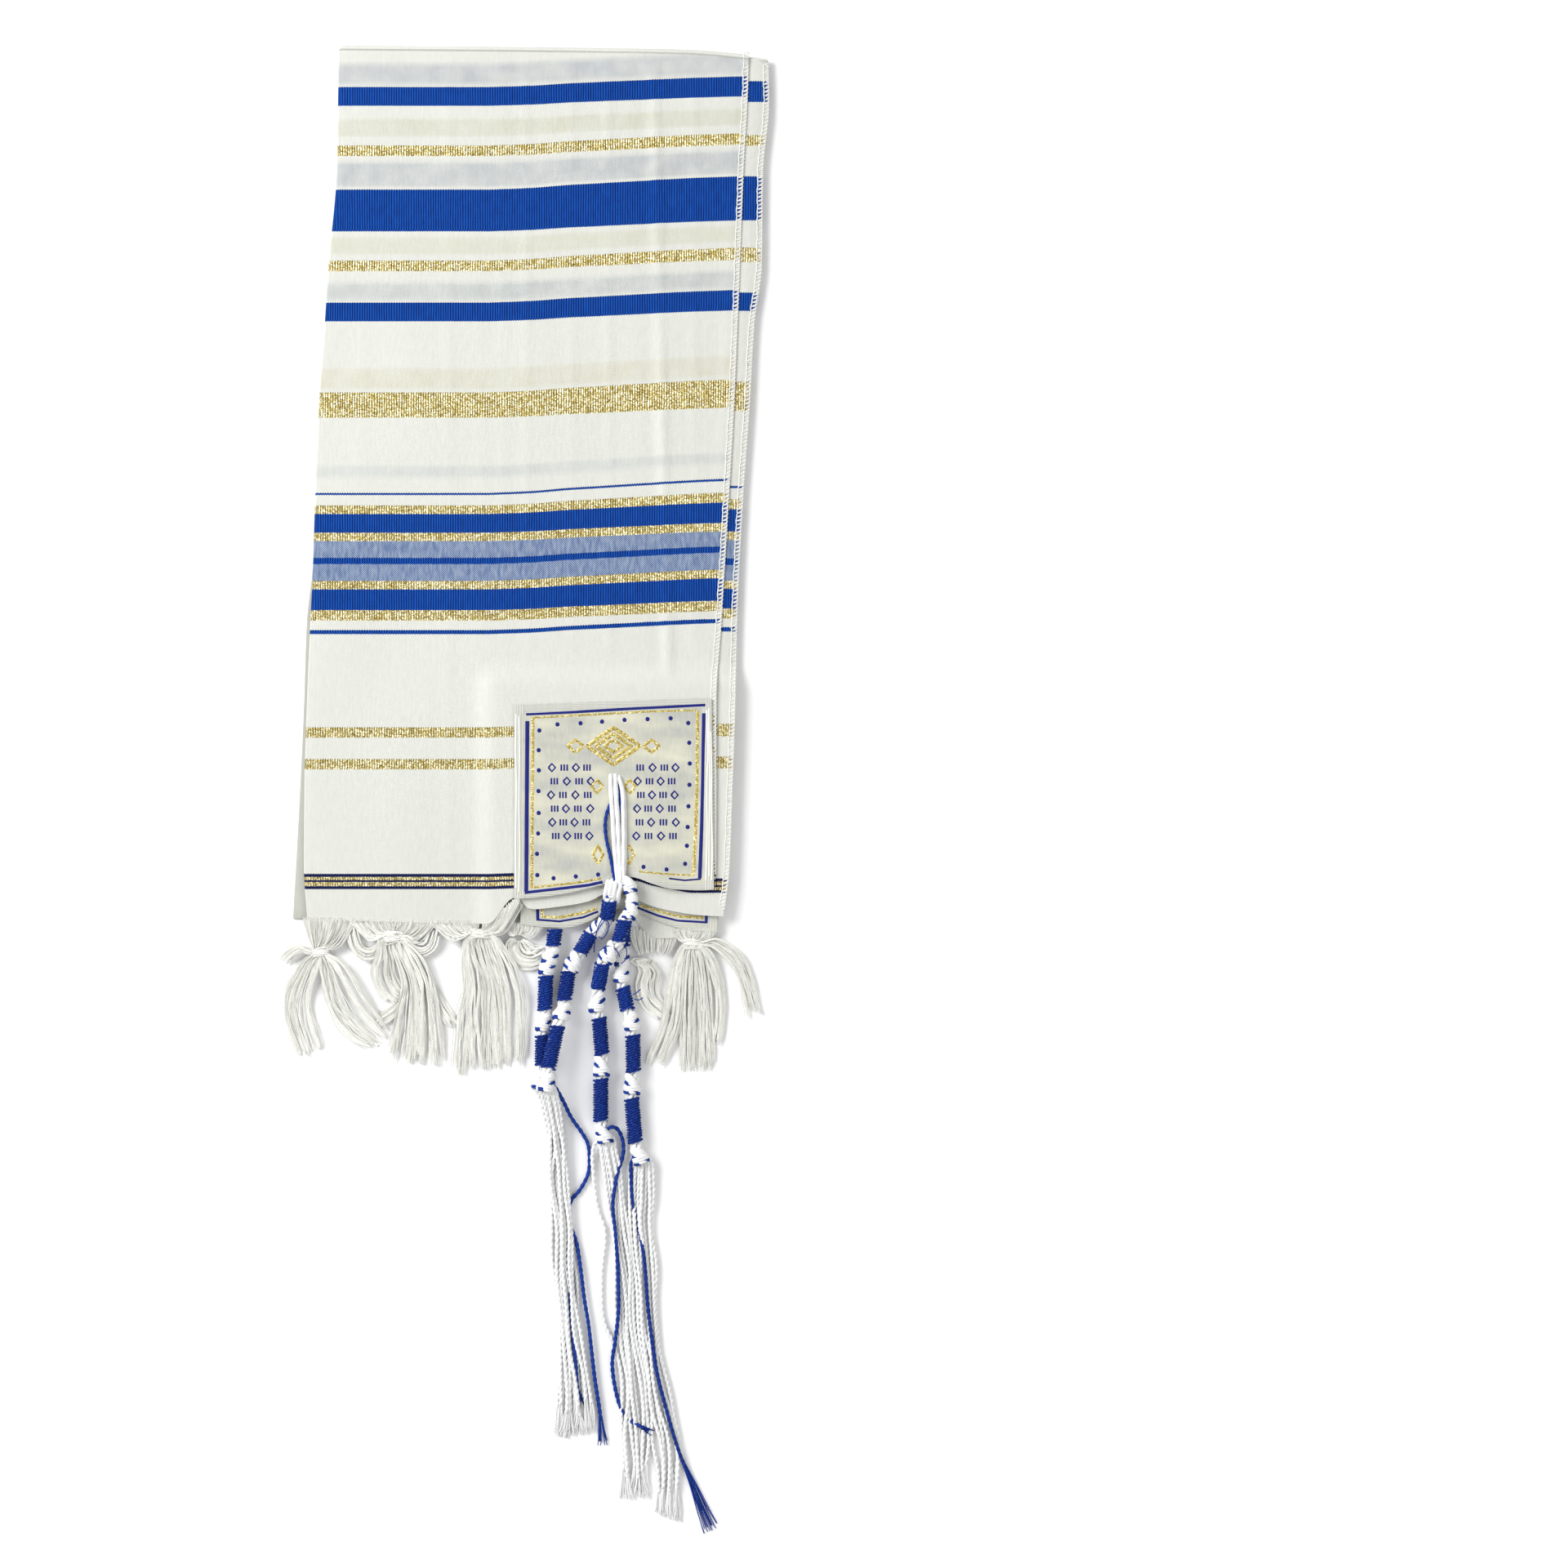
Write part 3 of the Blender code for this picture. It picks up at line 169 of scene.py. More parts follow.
# Edges of the woven stripes from the top end to the hem: at the left side, at the front layer's right
# side and on the second layer's selvedge
STRIPE_LEFT = numbers("""
    360.6 351.8 330.8 325.8 309 287.4 271.7 267.1 250.3 241.3 204.3 191.2 153.2 151.4 146.4 142.7 132.5 128
    119.2 117 107.9 103.7 92.4 88 82.2 80.3 32.7 27.5 16.4 10.9 -42.6 -43.9 -45.7 -46.9 -48.9 -50.2
""")
STRIPE_RIGHT = numbers("""
    366.2 356.6 337.3 331.7 316.1 293.1 278.7 273 257.1 247.1 211.3 196.5 161.1 159 153.5 149.1 137.9 133.3
    125.6 123.4 114.2 110 97.7 93.1 88.6 86.4 39.3 33.8 23.3 17.8 -35.5 -36.3 -38.9 -39.7 -42 -42.8
""")
STRIPE_STRIP = numbers("""
    363.9 353.8 336.6 331.2 316.1 293.1 278.7 271.9 255.6 246.8 210.2 194.5 157.1 154.9 149.9 145.4 133.3
    128.7 119.1 116.5 108.1 104 93.3 89.1 83.8 81.7 34.6 27.9 17.9 11.3 -45.1 -46 -48.5 -49.4 -51 -51.9
""")
WEFT_RISE = Profile((-17.4, 3.6, 22.9, 39.3, 56.1, 87.6, 115.7), (0.0, 0.12, 0.33, 0.46, 0.6, 0.85, 1.0))
# The same for the second layer, whose hem band slips out of sight below the top patch
SECOND_RISE = Profile((60.0, 66.0, 73.0, 79.0, 86.0, 100.0), (-2.3, -1.1, -0.3, 0.3, 1.0, 1.0))


class Band(Enum):
    """What a stretch of the cloth is woven in, as a mask colour of blue, gold and pale blue yarn."""

    PLAIN = (0.0, 0.0, 0.0, 1.0)
    BLUE = (1.0, 0.0, 0.0, 1.0)
    GOLD = (0.0, 1.0, 0.0, 1.0)
    PALE = (0.0, 0.0, 1.0, 1.0)


# What begins at each stripe edge, from the top end to the hem
STRIPE_ORDER = """
    BLUE PLAIN GOLD PLAIN BLUE PLAIN GOLD PLAIN BLUE PLAIN GOLD PLAIN BLUE PLAIN GOLD BLUE GOLD PALE BLUE
    PALE GOLD BLUE GOLD PLAIN BLUE PLAIN GOLD PLAIN GOLD PLAIN BLUE GOLD BLUE GOLD BLUE PLAIN
"""
BANDS = tuple(Band[kind] for kind in STRIPE_ORDER.split())
# A colour ramp holds 32 stops, so the stripes are shared out between two, parted at this edge
SPLIT = 24
# Where stripes of the layer below show faintly through the top one: from, to, tint
SHOWN_THROUGH = (
    (371.5, 362.4, (0.66, 0.69, 0.77)), (343.3, 336.1, (0.87, 0.86, 0.77)),
    (321.1, 310.2, (0.68, 0.71, 0.78)), (282.4, 275.1, (0.9, 0.89, 0.8)), (259.3, 251.9, (0.72, 0.75, 0.8)),
    (215.2, 206.0, (0.92, 0.9, 0.81)), (165.3, 161.0, (0.84, 0.86, 0.89)),
)


def soft_step(value: Array, low: float, high: float) -> Array:
    """A smooth rise from 0 at low to 1 at high."""
    t = np.clip((value - low) / (high - low), 0.0, 1.0)
    return t * t * (3 - 2 * t)


def lift_share(x: Array, y: Array) -> Array:
    """How far the sewn patches below lift the cloth, from 0 to 1."""
    return soft_step(x, -26.3, -14.6) * soft_step(-y, -66.0, -53.0)


def weft_place(x: Array, y: Array, edges: tuple[float, ...], rise: Array) -> Array:
    """Which weft thread runs through a point, named by its height at the left side.

    Args:
        x: Places across the cloth.
        y: Places along it.
        edges: The stripes' edges where rise is 1.
        rise: How far the weft has risen from its height at the left side, from 0 to 1.

    Returns:
        The height of that weft thread at the left side.
    """
    order = np.argsort(STRIPE_LEFT)
    left = np.asarray(STRIPE_LEFT)[order]
    shift = np.asarray(edges)[order] - left
    place = np.array(y, float)
    for _ in range(5):
        place = y - rise * np.interp(place, left, shift)
    return place


@dataclass
class Weaver:
    """Collects vertices and faces of many small forms, then makes one joined mesh of them."""

    points: list[Array] = field(default_factory=list)
    faces: list[tuple[int, ...]] = field(default_factory=list)
    tones: list[Array] = field(default_factory=list)
    count: int = 0

    def add(self, points: Array, faces: list[tuple[int, ...]]) -> None:
        """Adds one form; its faces count from 0.

        Args:
            points: The form's points.
            faces: Its faces, as numbers of its own points.
        """
        start = self.count
        self.points.append(points)
        self.faces.extend(tuple(corner + start for corner in face) for face in faces)
        self.count += len(points)

    def tube(
        self,
        path: Array,
        radius: Array | float,
        sides: int = 4,
        upright: Array | Point = (0.0, 0.0, 1.0),
        flat: float = 1.0,
        twist: float = 0.0,
        plies: int = 0,
        relief: float = 0.2,
        closed: bool = False,
    ) -> None:
        """Adds a round thread along a path.

        Args:
            path: The thread's points, one row each.
            radius: Its radius, one value or one for each point.
            sides: How many sides its section has.
            upright: A direction, or one for each point, that the path never runs along.
            flat: How high its section is, as a share of how wide.
            twist: Turns of the section for each millimetre of path.
            plies: How many plies the section shows, or 0 for a round one.
            relief: How deep the groove between two plies is, as a share of the radius.
            closed: Whether the path's end joins its start.
        """
        count = len(path)
        if closed:
            ahead, behind = np.roll(path, -1, axis=0), np.roll(path, 1, axis=0)
        else:
            ahead, behind = np.vstack([path[1:], path[-1:]]), np.vstack([path[:1], path[:-1]])
        tangent = ahead - behind
        tangent /= np.maximum(np.linalg.norm(tangent, axis=1, keepdims=True), 1e-9)
        up_way = np.broadcast_to(np.asarray(upright, float), path.shape)
        side = np.cross(up_way, tangent)
        side /= np.maximum(np.linalg.norm(side, axis=1, keepdims=True), 1e-9)
        above = np.cross(tangent, side)
        run = np.concatenate([[0.0], np.cumsum(np.linalg.norm(np.diff(path, axis=0), axis=1))])
        turn = np.arange(sides) / sides * math.tau
        angle = turn[None, :] + (run * twist * math.tau)[:, None]
        size = np.broadcast_to(np.asarray(radius, float), (count,))[:, None] * np.ones((1, sides))
        if plies:
            size = size * (1.0 - relief + relief * np.cos(plies * turn))[None, :]
        across = (np.cos(angle) * size)[..., None] * side[:, None, :]
        high = (np.sin(angle) * size * flat)[..., None] * above[:, None, :]
        ring = np.arange(sides)
        after = (ring + 1) % sides
        faces = []
        for k in range(count if closed else count - 1):
            here, there = k * sides, (k + 1) % count * sides
            faces.extend(zip(here + ring, here + after, there + after, there + ring))
        if not closed:
            faces.append(tuple(range(sides - 1, -1, -1)))
            faces.append(tuple((count - 1) * sides + n for n in range(sides)))
        self.add((path[:, None, :] + across + high).reshape(-1, 3), faces)
        self.tones.append(np.full(count * sides, (len(self.points) * 0.618) % 1.0))

    def ball(self, middle: Array, axes: Array, rings: int = 5, sides: int = 8) -> None:
        """Adds an egg-shaped filling; the rows of axes are its three half axes.

        Args:
            middle: Its middle.
            axes: Its three half axes, one in each row.
            rings: How many rings of points lie between its ends.
            sides: How many points a ring has.
        """
        points = [middle - axes[0]]
        for k in range(1, rings + 1):
            tilt = math.pi * k / (rings + 1)
            for n in range(sides):
                turn = math.tau * n / sides
                round_it = axes[1] * math.cos(turn) + axes[2] * math.sin(turn)
                points.append(middle - axes[0] * math.cos(tilt) + round_it * math.sin(tilt))
        points.append(middle + axes[0])
        faces = []
        last = len(points) - 1
        for n in range(sides):
            after = (n + 1) % sides
            faces.append((0, 1 + after, 1 + n))
            for k in range(rings - 1):
                here = 1 + k * sides
                faces.append((here + n, here + after, here + sides + after, here + sides + n))
            faces.append((last, last - sides + n, last - sides + after))
        self.add(np.array(points), faces)
        self.tones.append(np.full(len(points), 0.5))

    def build(self, name: str, materials: list[Material], sharp: float = 60.0) -> Piece:
        """Makes the joined mesh, in metres.

        Args:
            name: The piece's name.
            materials: Its material slots.
            sharp: The angle, in degrees, past which an edge stays sharp.

        Returns:
            The new object.
        """
        mesh = bpy.data.meshes.new(name)
        mesh.from_pydata((np.concatenate(self.points) * MM).tolist(), [], self.faces)
        tone = mesh.attributes.new("tone", "FLOAT", "POINT")
        tone.data.foreach_set("value", np.concatenate(self.tones))
        for material in materials:
            mesh.materials.append(material)
        piece = bpy.data.objects.new(name, mesh)
        bpy.context.scene.collection.objects.link(piece)
        smooth_piece(piece, sharp)
        return piece


def choose(piece: Piece) -> None:
    """Selects one object alone and makes it the active one.

    Args:
        piece: The object.
    """
    for other in bpy.context.selected_objects:
        other.select_set(False)
    piece.select_set(True)
    bpy.context.view_layer.objects.active = piece


def smooth_piece(piece: Piece, sharp: float) -> None:
    """Shades a piece smooth, but keeps edges sharper than an angle in degrees."""
    choose(piece)
    bpy.ops.object.shade_smooth_by_angle(angle=math.radians(sharp))


def dress(piece: Piece, slot: str, *nodes: str) -> None:
    """Lets a piece ride on the body, in place of the CAD nodes named.

    Args:
        piece: The piece.
        slot: Its material slot; not used.
        nodes: The CAD nodes that it replaces.
    """
    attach(piece, BODY)
    if nodes:
        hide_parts(*nodes)
    LOG.info("%s: %d faces", piece.name, len(piece.data.polygons))


def smooth_path(controls: Array, spacing: float) -> Array:
    """A smooth curve through control points, evenly stepped along its length.

    Args:
        controls: The points, one row each; columns past the third are carried along.
        spacing: The step between points in millimetres.

    Returns:
        The curve's points.
    """
    controls = np.asarray(controls, float)
    last = len(controls) - 1
    place = np.linspace(0, last, last * 12 + 1)
    k = np.minimum(place.astype(int), last - 1)
    t = (place - k)[:, None]
    before, start = controls[np.maximum(k - 1, 0)], controls[k]
    end, after = controls[k + 1], controls[np.minimum(k + 2, last)]
    fine = 0.5 * (
        2 * start
        + (end - before) * t
        + (2 * before - 5 * start + 4 * end - after) * t**2
        + (3 * start - before - 3 * end + after) * t**3
    )
    run = np.concatenate([[0.0], np.cumsum(np.linalg.norm(np.diff(fine[:, :3], axis=0), axis=1))])
    steps = max(2, int(round(run[-1] / spacing)) + 1)
    at = np.linspace(0, run[-1], steps)
    return np.stack([np.interp(at, run, fine[:, c]) for c in range(fine.shape[1])], axis=1)


def path_sides(path: Array) -> Array:
    """The level direction across a path at each of its points.

    Args:
        path: The path's points, one row each.

    Returns:
        One unit vector for each point.
    """
    ahead, behind = np.vstack([path[1:], path[-1:]]), np.vstack([path[:1], path[:-1]])
    tangent = (ahead - behind)[:, :3]
    side = np.stack([-tangent[:, 1], tangent[:, 0], np.zeros(len(path))], axis=1)
    return side / np.maximum(np.linalg.norm(side, axis=1, keepdims=True), 1e-9)


# Finishes


@dataclass
class Shader:
    """A material's node tree, with short ways to add and join its nodes."""

    tree: Tree

    def node(self, kind: str, **settings: object) -> Node:
        """Adds a node and sets its properties.

        Args:
            kind: The node's type.
            settings: Its properties, by name.

        Returns:
            The node.
        """
        made = self.tree.nodes.new(kind)
        for name, value in settings.items():
            setattr(made, name, value)
        return made

    def feed(self, socket: Socket, value: object) -> None:
        """Links an output to a socket, or sets the socket's own value.

        Args:
            socket: The socket.
            value: An output, or a plain value.
        """
        if isinstance(value, Socket):
            self.tree.links.new(value, socket)
        else:
            socket.default_value = value

    def math(self, operation: str, *values: object, clamp: bool = False) -> Socket:
        """Adds a Math node over its values and returns its result.

        Args:
            operation: What the node does.
            clamp: Whether the result stays between 0 and 1.
            values: Its inputs, outputs of nodes or numbers.

        Returns:
            The result.
        """
        made = self.node("ShaderNodeMath", operation=operation, use_clamp=clamp)
        for socket, value in zip(made.inputs, values):
            self.feed(socket, value)
        return made.outputs[0]

    def fill(self, node: Node, **values: object) -> Node:
        """Feeds a node's sockets by name, where _ stands for a space.

        Args:
            node: The node.
            values: What each socket gets, by name.

        Returns:
            The node.
        """
        for name, value in values.items():
            self.feed(node.inputs[name.replace("_", " ")], value)
        return node

    def mix(self, share: object, first: object, second: object, how: str = "MIX") -> Socket:
        """Mixes two colours by a share and returns the colour."""
        made = self.node("ShaderNodeMix", data_type="RGBA", blend_type=how)
        return self.fill(made, Factor=share, A=first, B=second).outputs["Result"]

    def ramp(self, share: object, stops: list[tuple[float, tuple]], hard: bool = False) -> Node:
        """Adds a colour ramp with the stops given.

        Args:
            share: What the ramp is read by.
            stops: Places and colours, in order.
            hard: Whether a colour holds until the next stop.

        Returns:
            The node.
        """
        made = self.node("ShaderNodeValToRGB")
        made.color_ramp.interpolation = "CONSTANT" if hard else "LINEAR"
        elements = made.color_ramp.elements
        elements[0].position, elements[0].color = stops[0]
        elements[1].position, elements[1].color = stops[-1]
        for place, colour in stops[1:-1]:
            elements.new(place).color = colour
        self.feed(made.inputs["Fac"], share)
        return made

    def scale(self, value: object, low: float, high: float, to: float = 0.0, end: float = 1.0) -> object:
        """Maps a value from one range to another."""
        made = self.node("ShaderNodeMapRange")
        return self.fill(made, Value=value, From_Min=low, From_Max=high, To_Min=to, To_Max=end).outputs[0]

    def noise(self, vector: object, size: float, detail: float = 2.0) -> Socket:
        """Noise whose features have a size in metres."""
        made = self.node("ShaderNodeTexNoise")
        return self.fill(made, Vector=vector, Scale=1.0 / size, Detail=detail).outputs["Fac"]

    def group(self, tree: Tree, **values: object) -> Node:
        """Places a node group and feeds its sockets by name."""
        return self.fill(self.node("ShaderNodeGroup", node_tree=tree), **values)

    def bump(self, height: object, distance: float, strength: float = 1.0) -> Socket:
        """Turns a height of 0 to 1 into a surface normal; distance is in metres."""
        made = self.node("ShaderNodeBump")
        return self.fill(made, Distance=distance, Strength=strength, Height=height).outputs["Normal"]

    def join(self, across: object, along: object) -> Socket:
        """Makes one place of its two parts."""
        return self.fill(self.node("ShaderNodeCombineXYZ"), X=across, Y=along).outputs[0]

    def cloth_place(self) -> tuple[Socket, Socket, Socket]:
        """The place on the piece's own cloth map, in metres, and its parts across and along.

        Returns:
            The place and its two parts.
        """
        place = self.node("ShaderNodeUVMap", uv_map="cloth").outputs[0]
        parts = self.fill(self.node("ShaderNodeSeparateXYZ"), Vector=place).outputs
        return place, parts[0], parts[1]


def new_group(name: str, inputs: tuple[str, ...], outputs: tuple[str, ...]) -> tuple[Shader, dict, dict]:
    """Starts a shader node group of plain number sockets; one named Vector is a vector.

    Args:
        name: The group's name.
        inputs: Names of its inputs.
        outputs: Names of its outputs.

    Returns:
        The group's shader, its inputs' sockets and its outputs' sockets, by name.
    """
    tree = bpy.data.node_groups.new(name, "ShaderNodeTree")
    for socket in inputs:
        kind = "NodeSocketVector" if socket == "Vector" else "NodeSocketFloat"
        tree.interface.new_socket(name=socket, in_out="INPUT", socket_type=kind)
    for socket in outputs:
        kind = "NodeSocketColor" if socket == "Tint" else "NodeSocketFloat"
        tree.interface.new_socket(name=socket, in_out="OUTPUT", socket_type=kind)
    shader = Shader(tree)
    start, end = shader.node("NodeGroupInput"), shader.node("NodeGroupOutput")
    return shader, {s.name: s for s in start.outputs if s.name}, {s.name: s for s in end.inputs if s.name}


def weave_group() -> Tree:
    """Fine plain weave from places across and along the cloth, in metres: height, shade and check.

    Returns:
        The group.
    """
    sockets = ("Across", "Along", "Pitch"), ("Height", "Shade", "Check")
    shader, take, give = new_group("plain_weave", *sockets)
    waves = []
    for way in ("Across", "Along"):
        turn = shader.math("DIVIDE", shader.math("MULTIPLY", take[way], math.tau), take["Pitch"])
        waves.append(shader.math("SINE", turn))
    checks = shader.math("MULTIPLY", shader.math("MULTIPLY", *waves), 0.3)
    place = shader.join(take["Across"], shader.math("MULTIPLY", take["Along"], 0.25))
    slub = shader.noise(place, 0.0016, 3.0)
    cloud = shader.noise(place, 0.03, 2.0)
    height = shader.math("ADD", checks, shader.math("MULTIPLY", slub, 0.7))
    shader.feed(give["Height"], shader.math("ADD", height, 0.1))
    both = shader.math("ADD", shader.math("MULTIPLY", slub, 0.6), shader.math("MULTIPLY", cloud, 0.4))
    shader.feed(give["Shade"], both)
    twill = shader.math("ADD", take["Across"], take["Along"])
    pitch = shader.math("MULTIPLY", take["Pitch"], 1.6)
    turn = shader.math("DIVIDE", shader.math("MULTIPLY", twill, math.tau), pitch)
    lines = shader.math("ADD", shader.math("MULTIPLY", shader.math("SINE", turn), 0.35), slub)
    shader.feed(give["Check"], shader.scale(lines, 0.2, 0.8))
    return shader.tree


def rib_group() -> Tree:
    """Ribs that run along the cloth, one each pitch, slightly uneven: a rounded height.

    Returns:
        The group.
    """
    shader, take, give = new_group("ribs", ("Across", "Along", "Pitch"), ("Height",))
    place = shader.join(take["Across"], shader.math("MULTIPLY", take["Along"], 0.2))
    sway = shader.math("MULTIPLY", shader.noise(place, 0.006, 1.0), 0.0008)
    along = shader.math("MULTIPLY", shader.math("ADD", take["Across"], sway), math.pi)
    wave = shader.math("ABSOLUTE", shader.math("SINE", shader.math("DIVIDE", along, take["Pitch"])))
    shader.feed(give["Height"], shader.math("POWER", wave, 0.7))
    return shader.tree


def glitter_group() -> Tree:
    """Metal yarn that catches the light in specks: their brightness, and a slower patchiness.

    Returns:
        The group.
    """
    shader, take, give = new_group("metal_glitter", ("Vector", "Size"), ("Speck", "Patch"))
    cells = shader.node("ShaderNodeTexVoronoi")
    shader.fill(cells, Vector=take["Vector"], Scale=shader.math("DIVIDE", 1.0, take["Size"]))
    parts = shader.fill(shader.node("ShaderNodeSeparateColor"), Color=cells.outputs["Color"])
    shader.feed(give["Speck"], parts.outputs[0])
    shader.feed(give["Patch"], shader.noise(take["Vector"], 0.004, 1.0))
    return shader.tree


def stripe_group() -> Tree:
    """Masks of the blue, gold and pale blue yarn, by the weft thread's height at the left side.

    Returns:
        The group.
    """
    shader, take, give = new_group("shawl_stripes", ("Along",), ("Blue", "Gold", "Pale"))
    masks = []
    for first, last in ((0, SPLIT), (SPLIT, len(BANDS))):
        high, low = STRIPE_LEFT[first] + 1.0, STRIPE_LEFT[last - 1] - 1.0
        share = shader.scale(take["Along"], high * MM, low * MM)
        stops = [(0.0, Band.PLAIN.value)]
        for edge, band in zip(STRIPE_LEFT[first:last], BANDS[first:last]):
            stops.append(((high - edge) / (high - low), band.value))
        masks.append(shader.ramp(share, stops, hard=True).outputs["Color"])
    both = shader.mix(1.0, masks[0], masks[1], "ADD")
    parts = shader.fill(shader.node("ShaderNodeSeparateColor"), Color=both)
    for name, output in zip(("Blue", "Gold", "Pale"), parts.outputs):
        shader.feed(give[name], output)
    return shader.tree


def twist_group() -> Tree:
    """Fine twisted fibres of a cord or yarn: a height and a shade.

    Returns:
        The group.
    """
    shader, take, give = new_group("twisted_fibres", ("Vector", "Size"), ("Height", "Shade"))
    noise = shader.node("ShaderNodeTexNoise")
    scale = shader.math("DIVIDE", 1.0, take["Size"])
    shader.fill(noise, Vector=take["Vector"], Scale=scale, Detail=3.0)
    shader.feed(give["Height"], noise.outputs["Fac"])
    shader.feed(give["Shade"], shader.math("POWER", noise.outputs["Fac"], 1.5))
    return shader.tree


@dataclass
class Groups:
    """The shared node groups, each made once."""

    weave: Tree = field(default_factory=weave_group)
    ribs: Tree = field(default_factory=rib_group)
    glitter: Tree = field(default_factory=glitter_group)
    stripes: Tree = field(default_factory=stripe_group)
    fibres: Tree = field(default_factory=twist_group)


def start_material(name: str) -> tuple[Material, Shader, Node]:
    """A new material with its shader and its Principled BSDF.

    Args:
        name: The material's name.

    Returns:
        The material, its shader and its Principled BSDF.
    """
    material = bpy.data.materials.new(name)
    material.use_nodes = True
    shader = Shader(material.node_tree)
    return material, shader, material.node_tree.nodes["Principled BSDF"]


@dataclass(frozen=True)
class ShawlCloth:
    """The shawl's cloth: white plain weave with ribbed blue, glittering gold and pale blue stripes."""

    name: str
    shows_through: bool = False
    white: Colour = (0.752, 0.757, 0.702, 1.0)
    white_shade: Colour = (0.60, 0.606, 0.562, 1.0)
    blue: Colour = (0.007, 0.090, 0.47, 1.0)
    blue_shade: Colour = (0.002, 0.014, 0.11, 1.0)
    gold: Colour = (0.47, 0.37, 0.11, 1.0)
    gold_shade: Colour = (0.17, 0.12, 0.03, 1.0)
    gold_light: Colour = (0.97, 0.92, 0.64, 1.0)
    pale: Colour = (0.028, 0.075, 0.24, 1.0)
    pale_shade: Colour = (0.37, 0.44, 0.54, 1.0)
    navy: Colour = (0.006, 0.012, 0.07, 1.0)
    rib_pitch: float = 0.00126
    weave_pitch: float = 0.0007
    metal_cell: float = 0.0006
    relief: float = 0.0003
    navy_below: float = -0.04

    def build(self, groups: Groups) -> Material:
        """Makes the material; it reads the piece's own cloth map, in metres.

        Args:
            groups: The shared node groups.

        Returns:
            The material.
        """
        material, shader, skin = start_material(self.name)
        place, across, along = shader.cloth_place()
        ribs = shader.group(groups.ribs, Across=across, Along=along, Pitch=self.rib_pitch).outputs["Height"]
        weave = shader.group(groups.weave, Across=across, Along=along, Pitch=self.weave_pitch)
        glitter = shader.group(groups.glitter, Vector=place, Size=self.metal_cell)
        edge = shader.math("MULTIPLY", shader.math("SUBTRACT", ribs, 0.6), 0.00045)
        mask = shader.group(groups.stripes, Along=shader.math("ADD", along, edge)).outputs
        white = shader.mix(weave.outputs["Shade"], self.white_shade, self.white)
        if self.shows_through:
            cloudy = shader.scale(shader.noise(place, 0.012, 3.0), 0.3, 0.7, 0.5, 1.0)
            white = shader.mix(cloudy, white, self.show_through(shader, along), "MULTIPLY")
        checks = shader.scale(weave.outputs["Check"], 0.0, 1.0, 0.55, 1.1)
        shine = shader.scale(shader.math("MULTIPLY", ribs, checks), 0.25, 1.0)
        blue = shader.mix(shine, self.blue_shade, self.blue)
        blue = shader.mix(shader.math("LESS_THAN", along, self.navy_below), blue, self.navy)
        pale = shader.mix(weave.outputs["Check"], self.pale, self.pale_shade)
        sparkle = shader.ramp(
            glitter.outputs["Speck"],
            [(0.0, self.gold_shade), (0.2, self.gold), (0.56, self.gold), (0.72, self.gold_light)],
        ).outputs["Color"]
        patchy = shader.scale(glitter.outputs["Patch"], 0.38, 0.62, 0.25, 1.0)
        groove = shader.math("SUBTRACT", 1.0, shader.math("POWER", ribs, 1.6))
        gold = shader.mix(shader.math("MULTIPLY", groove, patchy), sparkle, self.gold_shade)
        colour = shader.mix(mask["Blue"], white, blue)
        colour = shader.mix(mask["Pale"], colour, pale)
        woven = shader.math("ADD", mask["Blue"], mask["Gold"], clamp=True)
        plain = shader.math("SUBTRACT", 1.0, woven)
        height = shader.math(
            "ADD",
            shader.math("MULTIPLY", woven, shader.math("MULTIPLY", ribs, 1.6)),
            shader.math("MULTIPLY", plain, weave.outputs["Height"]),
        )
        shader.fill(
            skin,
            Base_Color=shader.mix(mask["Gold"], colour, gold),
            Normal=shader.bump(height, self.relief, 0.9),
            Metallic=shader.math("MULTIPLY", mask["Gold"], 0.3),
            Roughness=shader.math("SUBTRACT", 0.85, shader.math("MULTIPLY", mask["Gold"], 0.45)),
            Specular_IOR_Level=0.12,
        )
        return material

    def show_through(self, shader: Shader, along: Socket) -> Socket:
        """The faint tint of the stripes that lie one layer down.

        Args:
            shader: The material's shader.
            along: The place along the cloth.

        Returns:
            The tint.
        """
        high, low = STRIPE_LEFT[0] + 15.0, STRIPE_LEFT[-1] - 15.0
        plain = (1.0, 1.0, 1.0, 1.0)
        stops = []
        for start, end, tint in SHOWN_THROUGH:
            dyed = (*tint, 1.0)
            for place, colour in ((start + 1.6, plain), (start, dyed), (end, dyed), (end - 1.2, plain)):
                stops.append(((high - place) / (high - low), colour))
        share = shader.scale(along, high * MM, low * MM)
        return shader.ramp(share, stops).outputs["Color"]


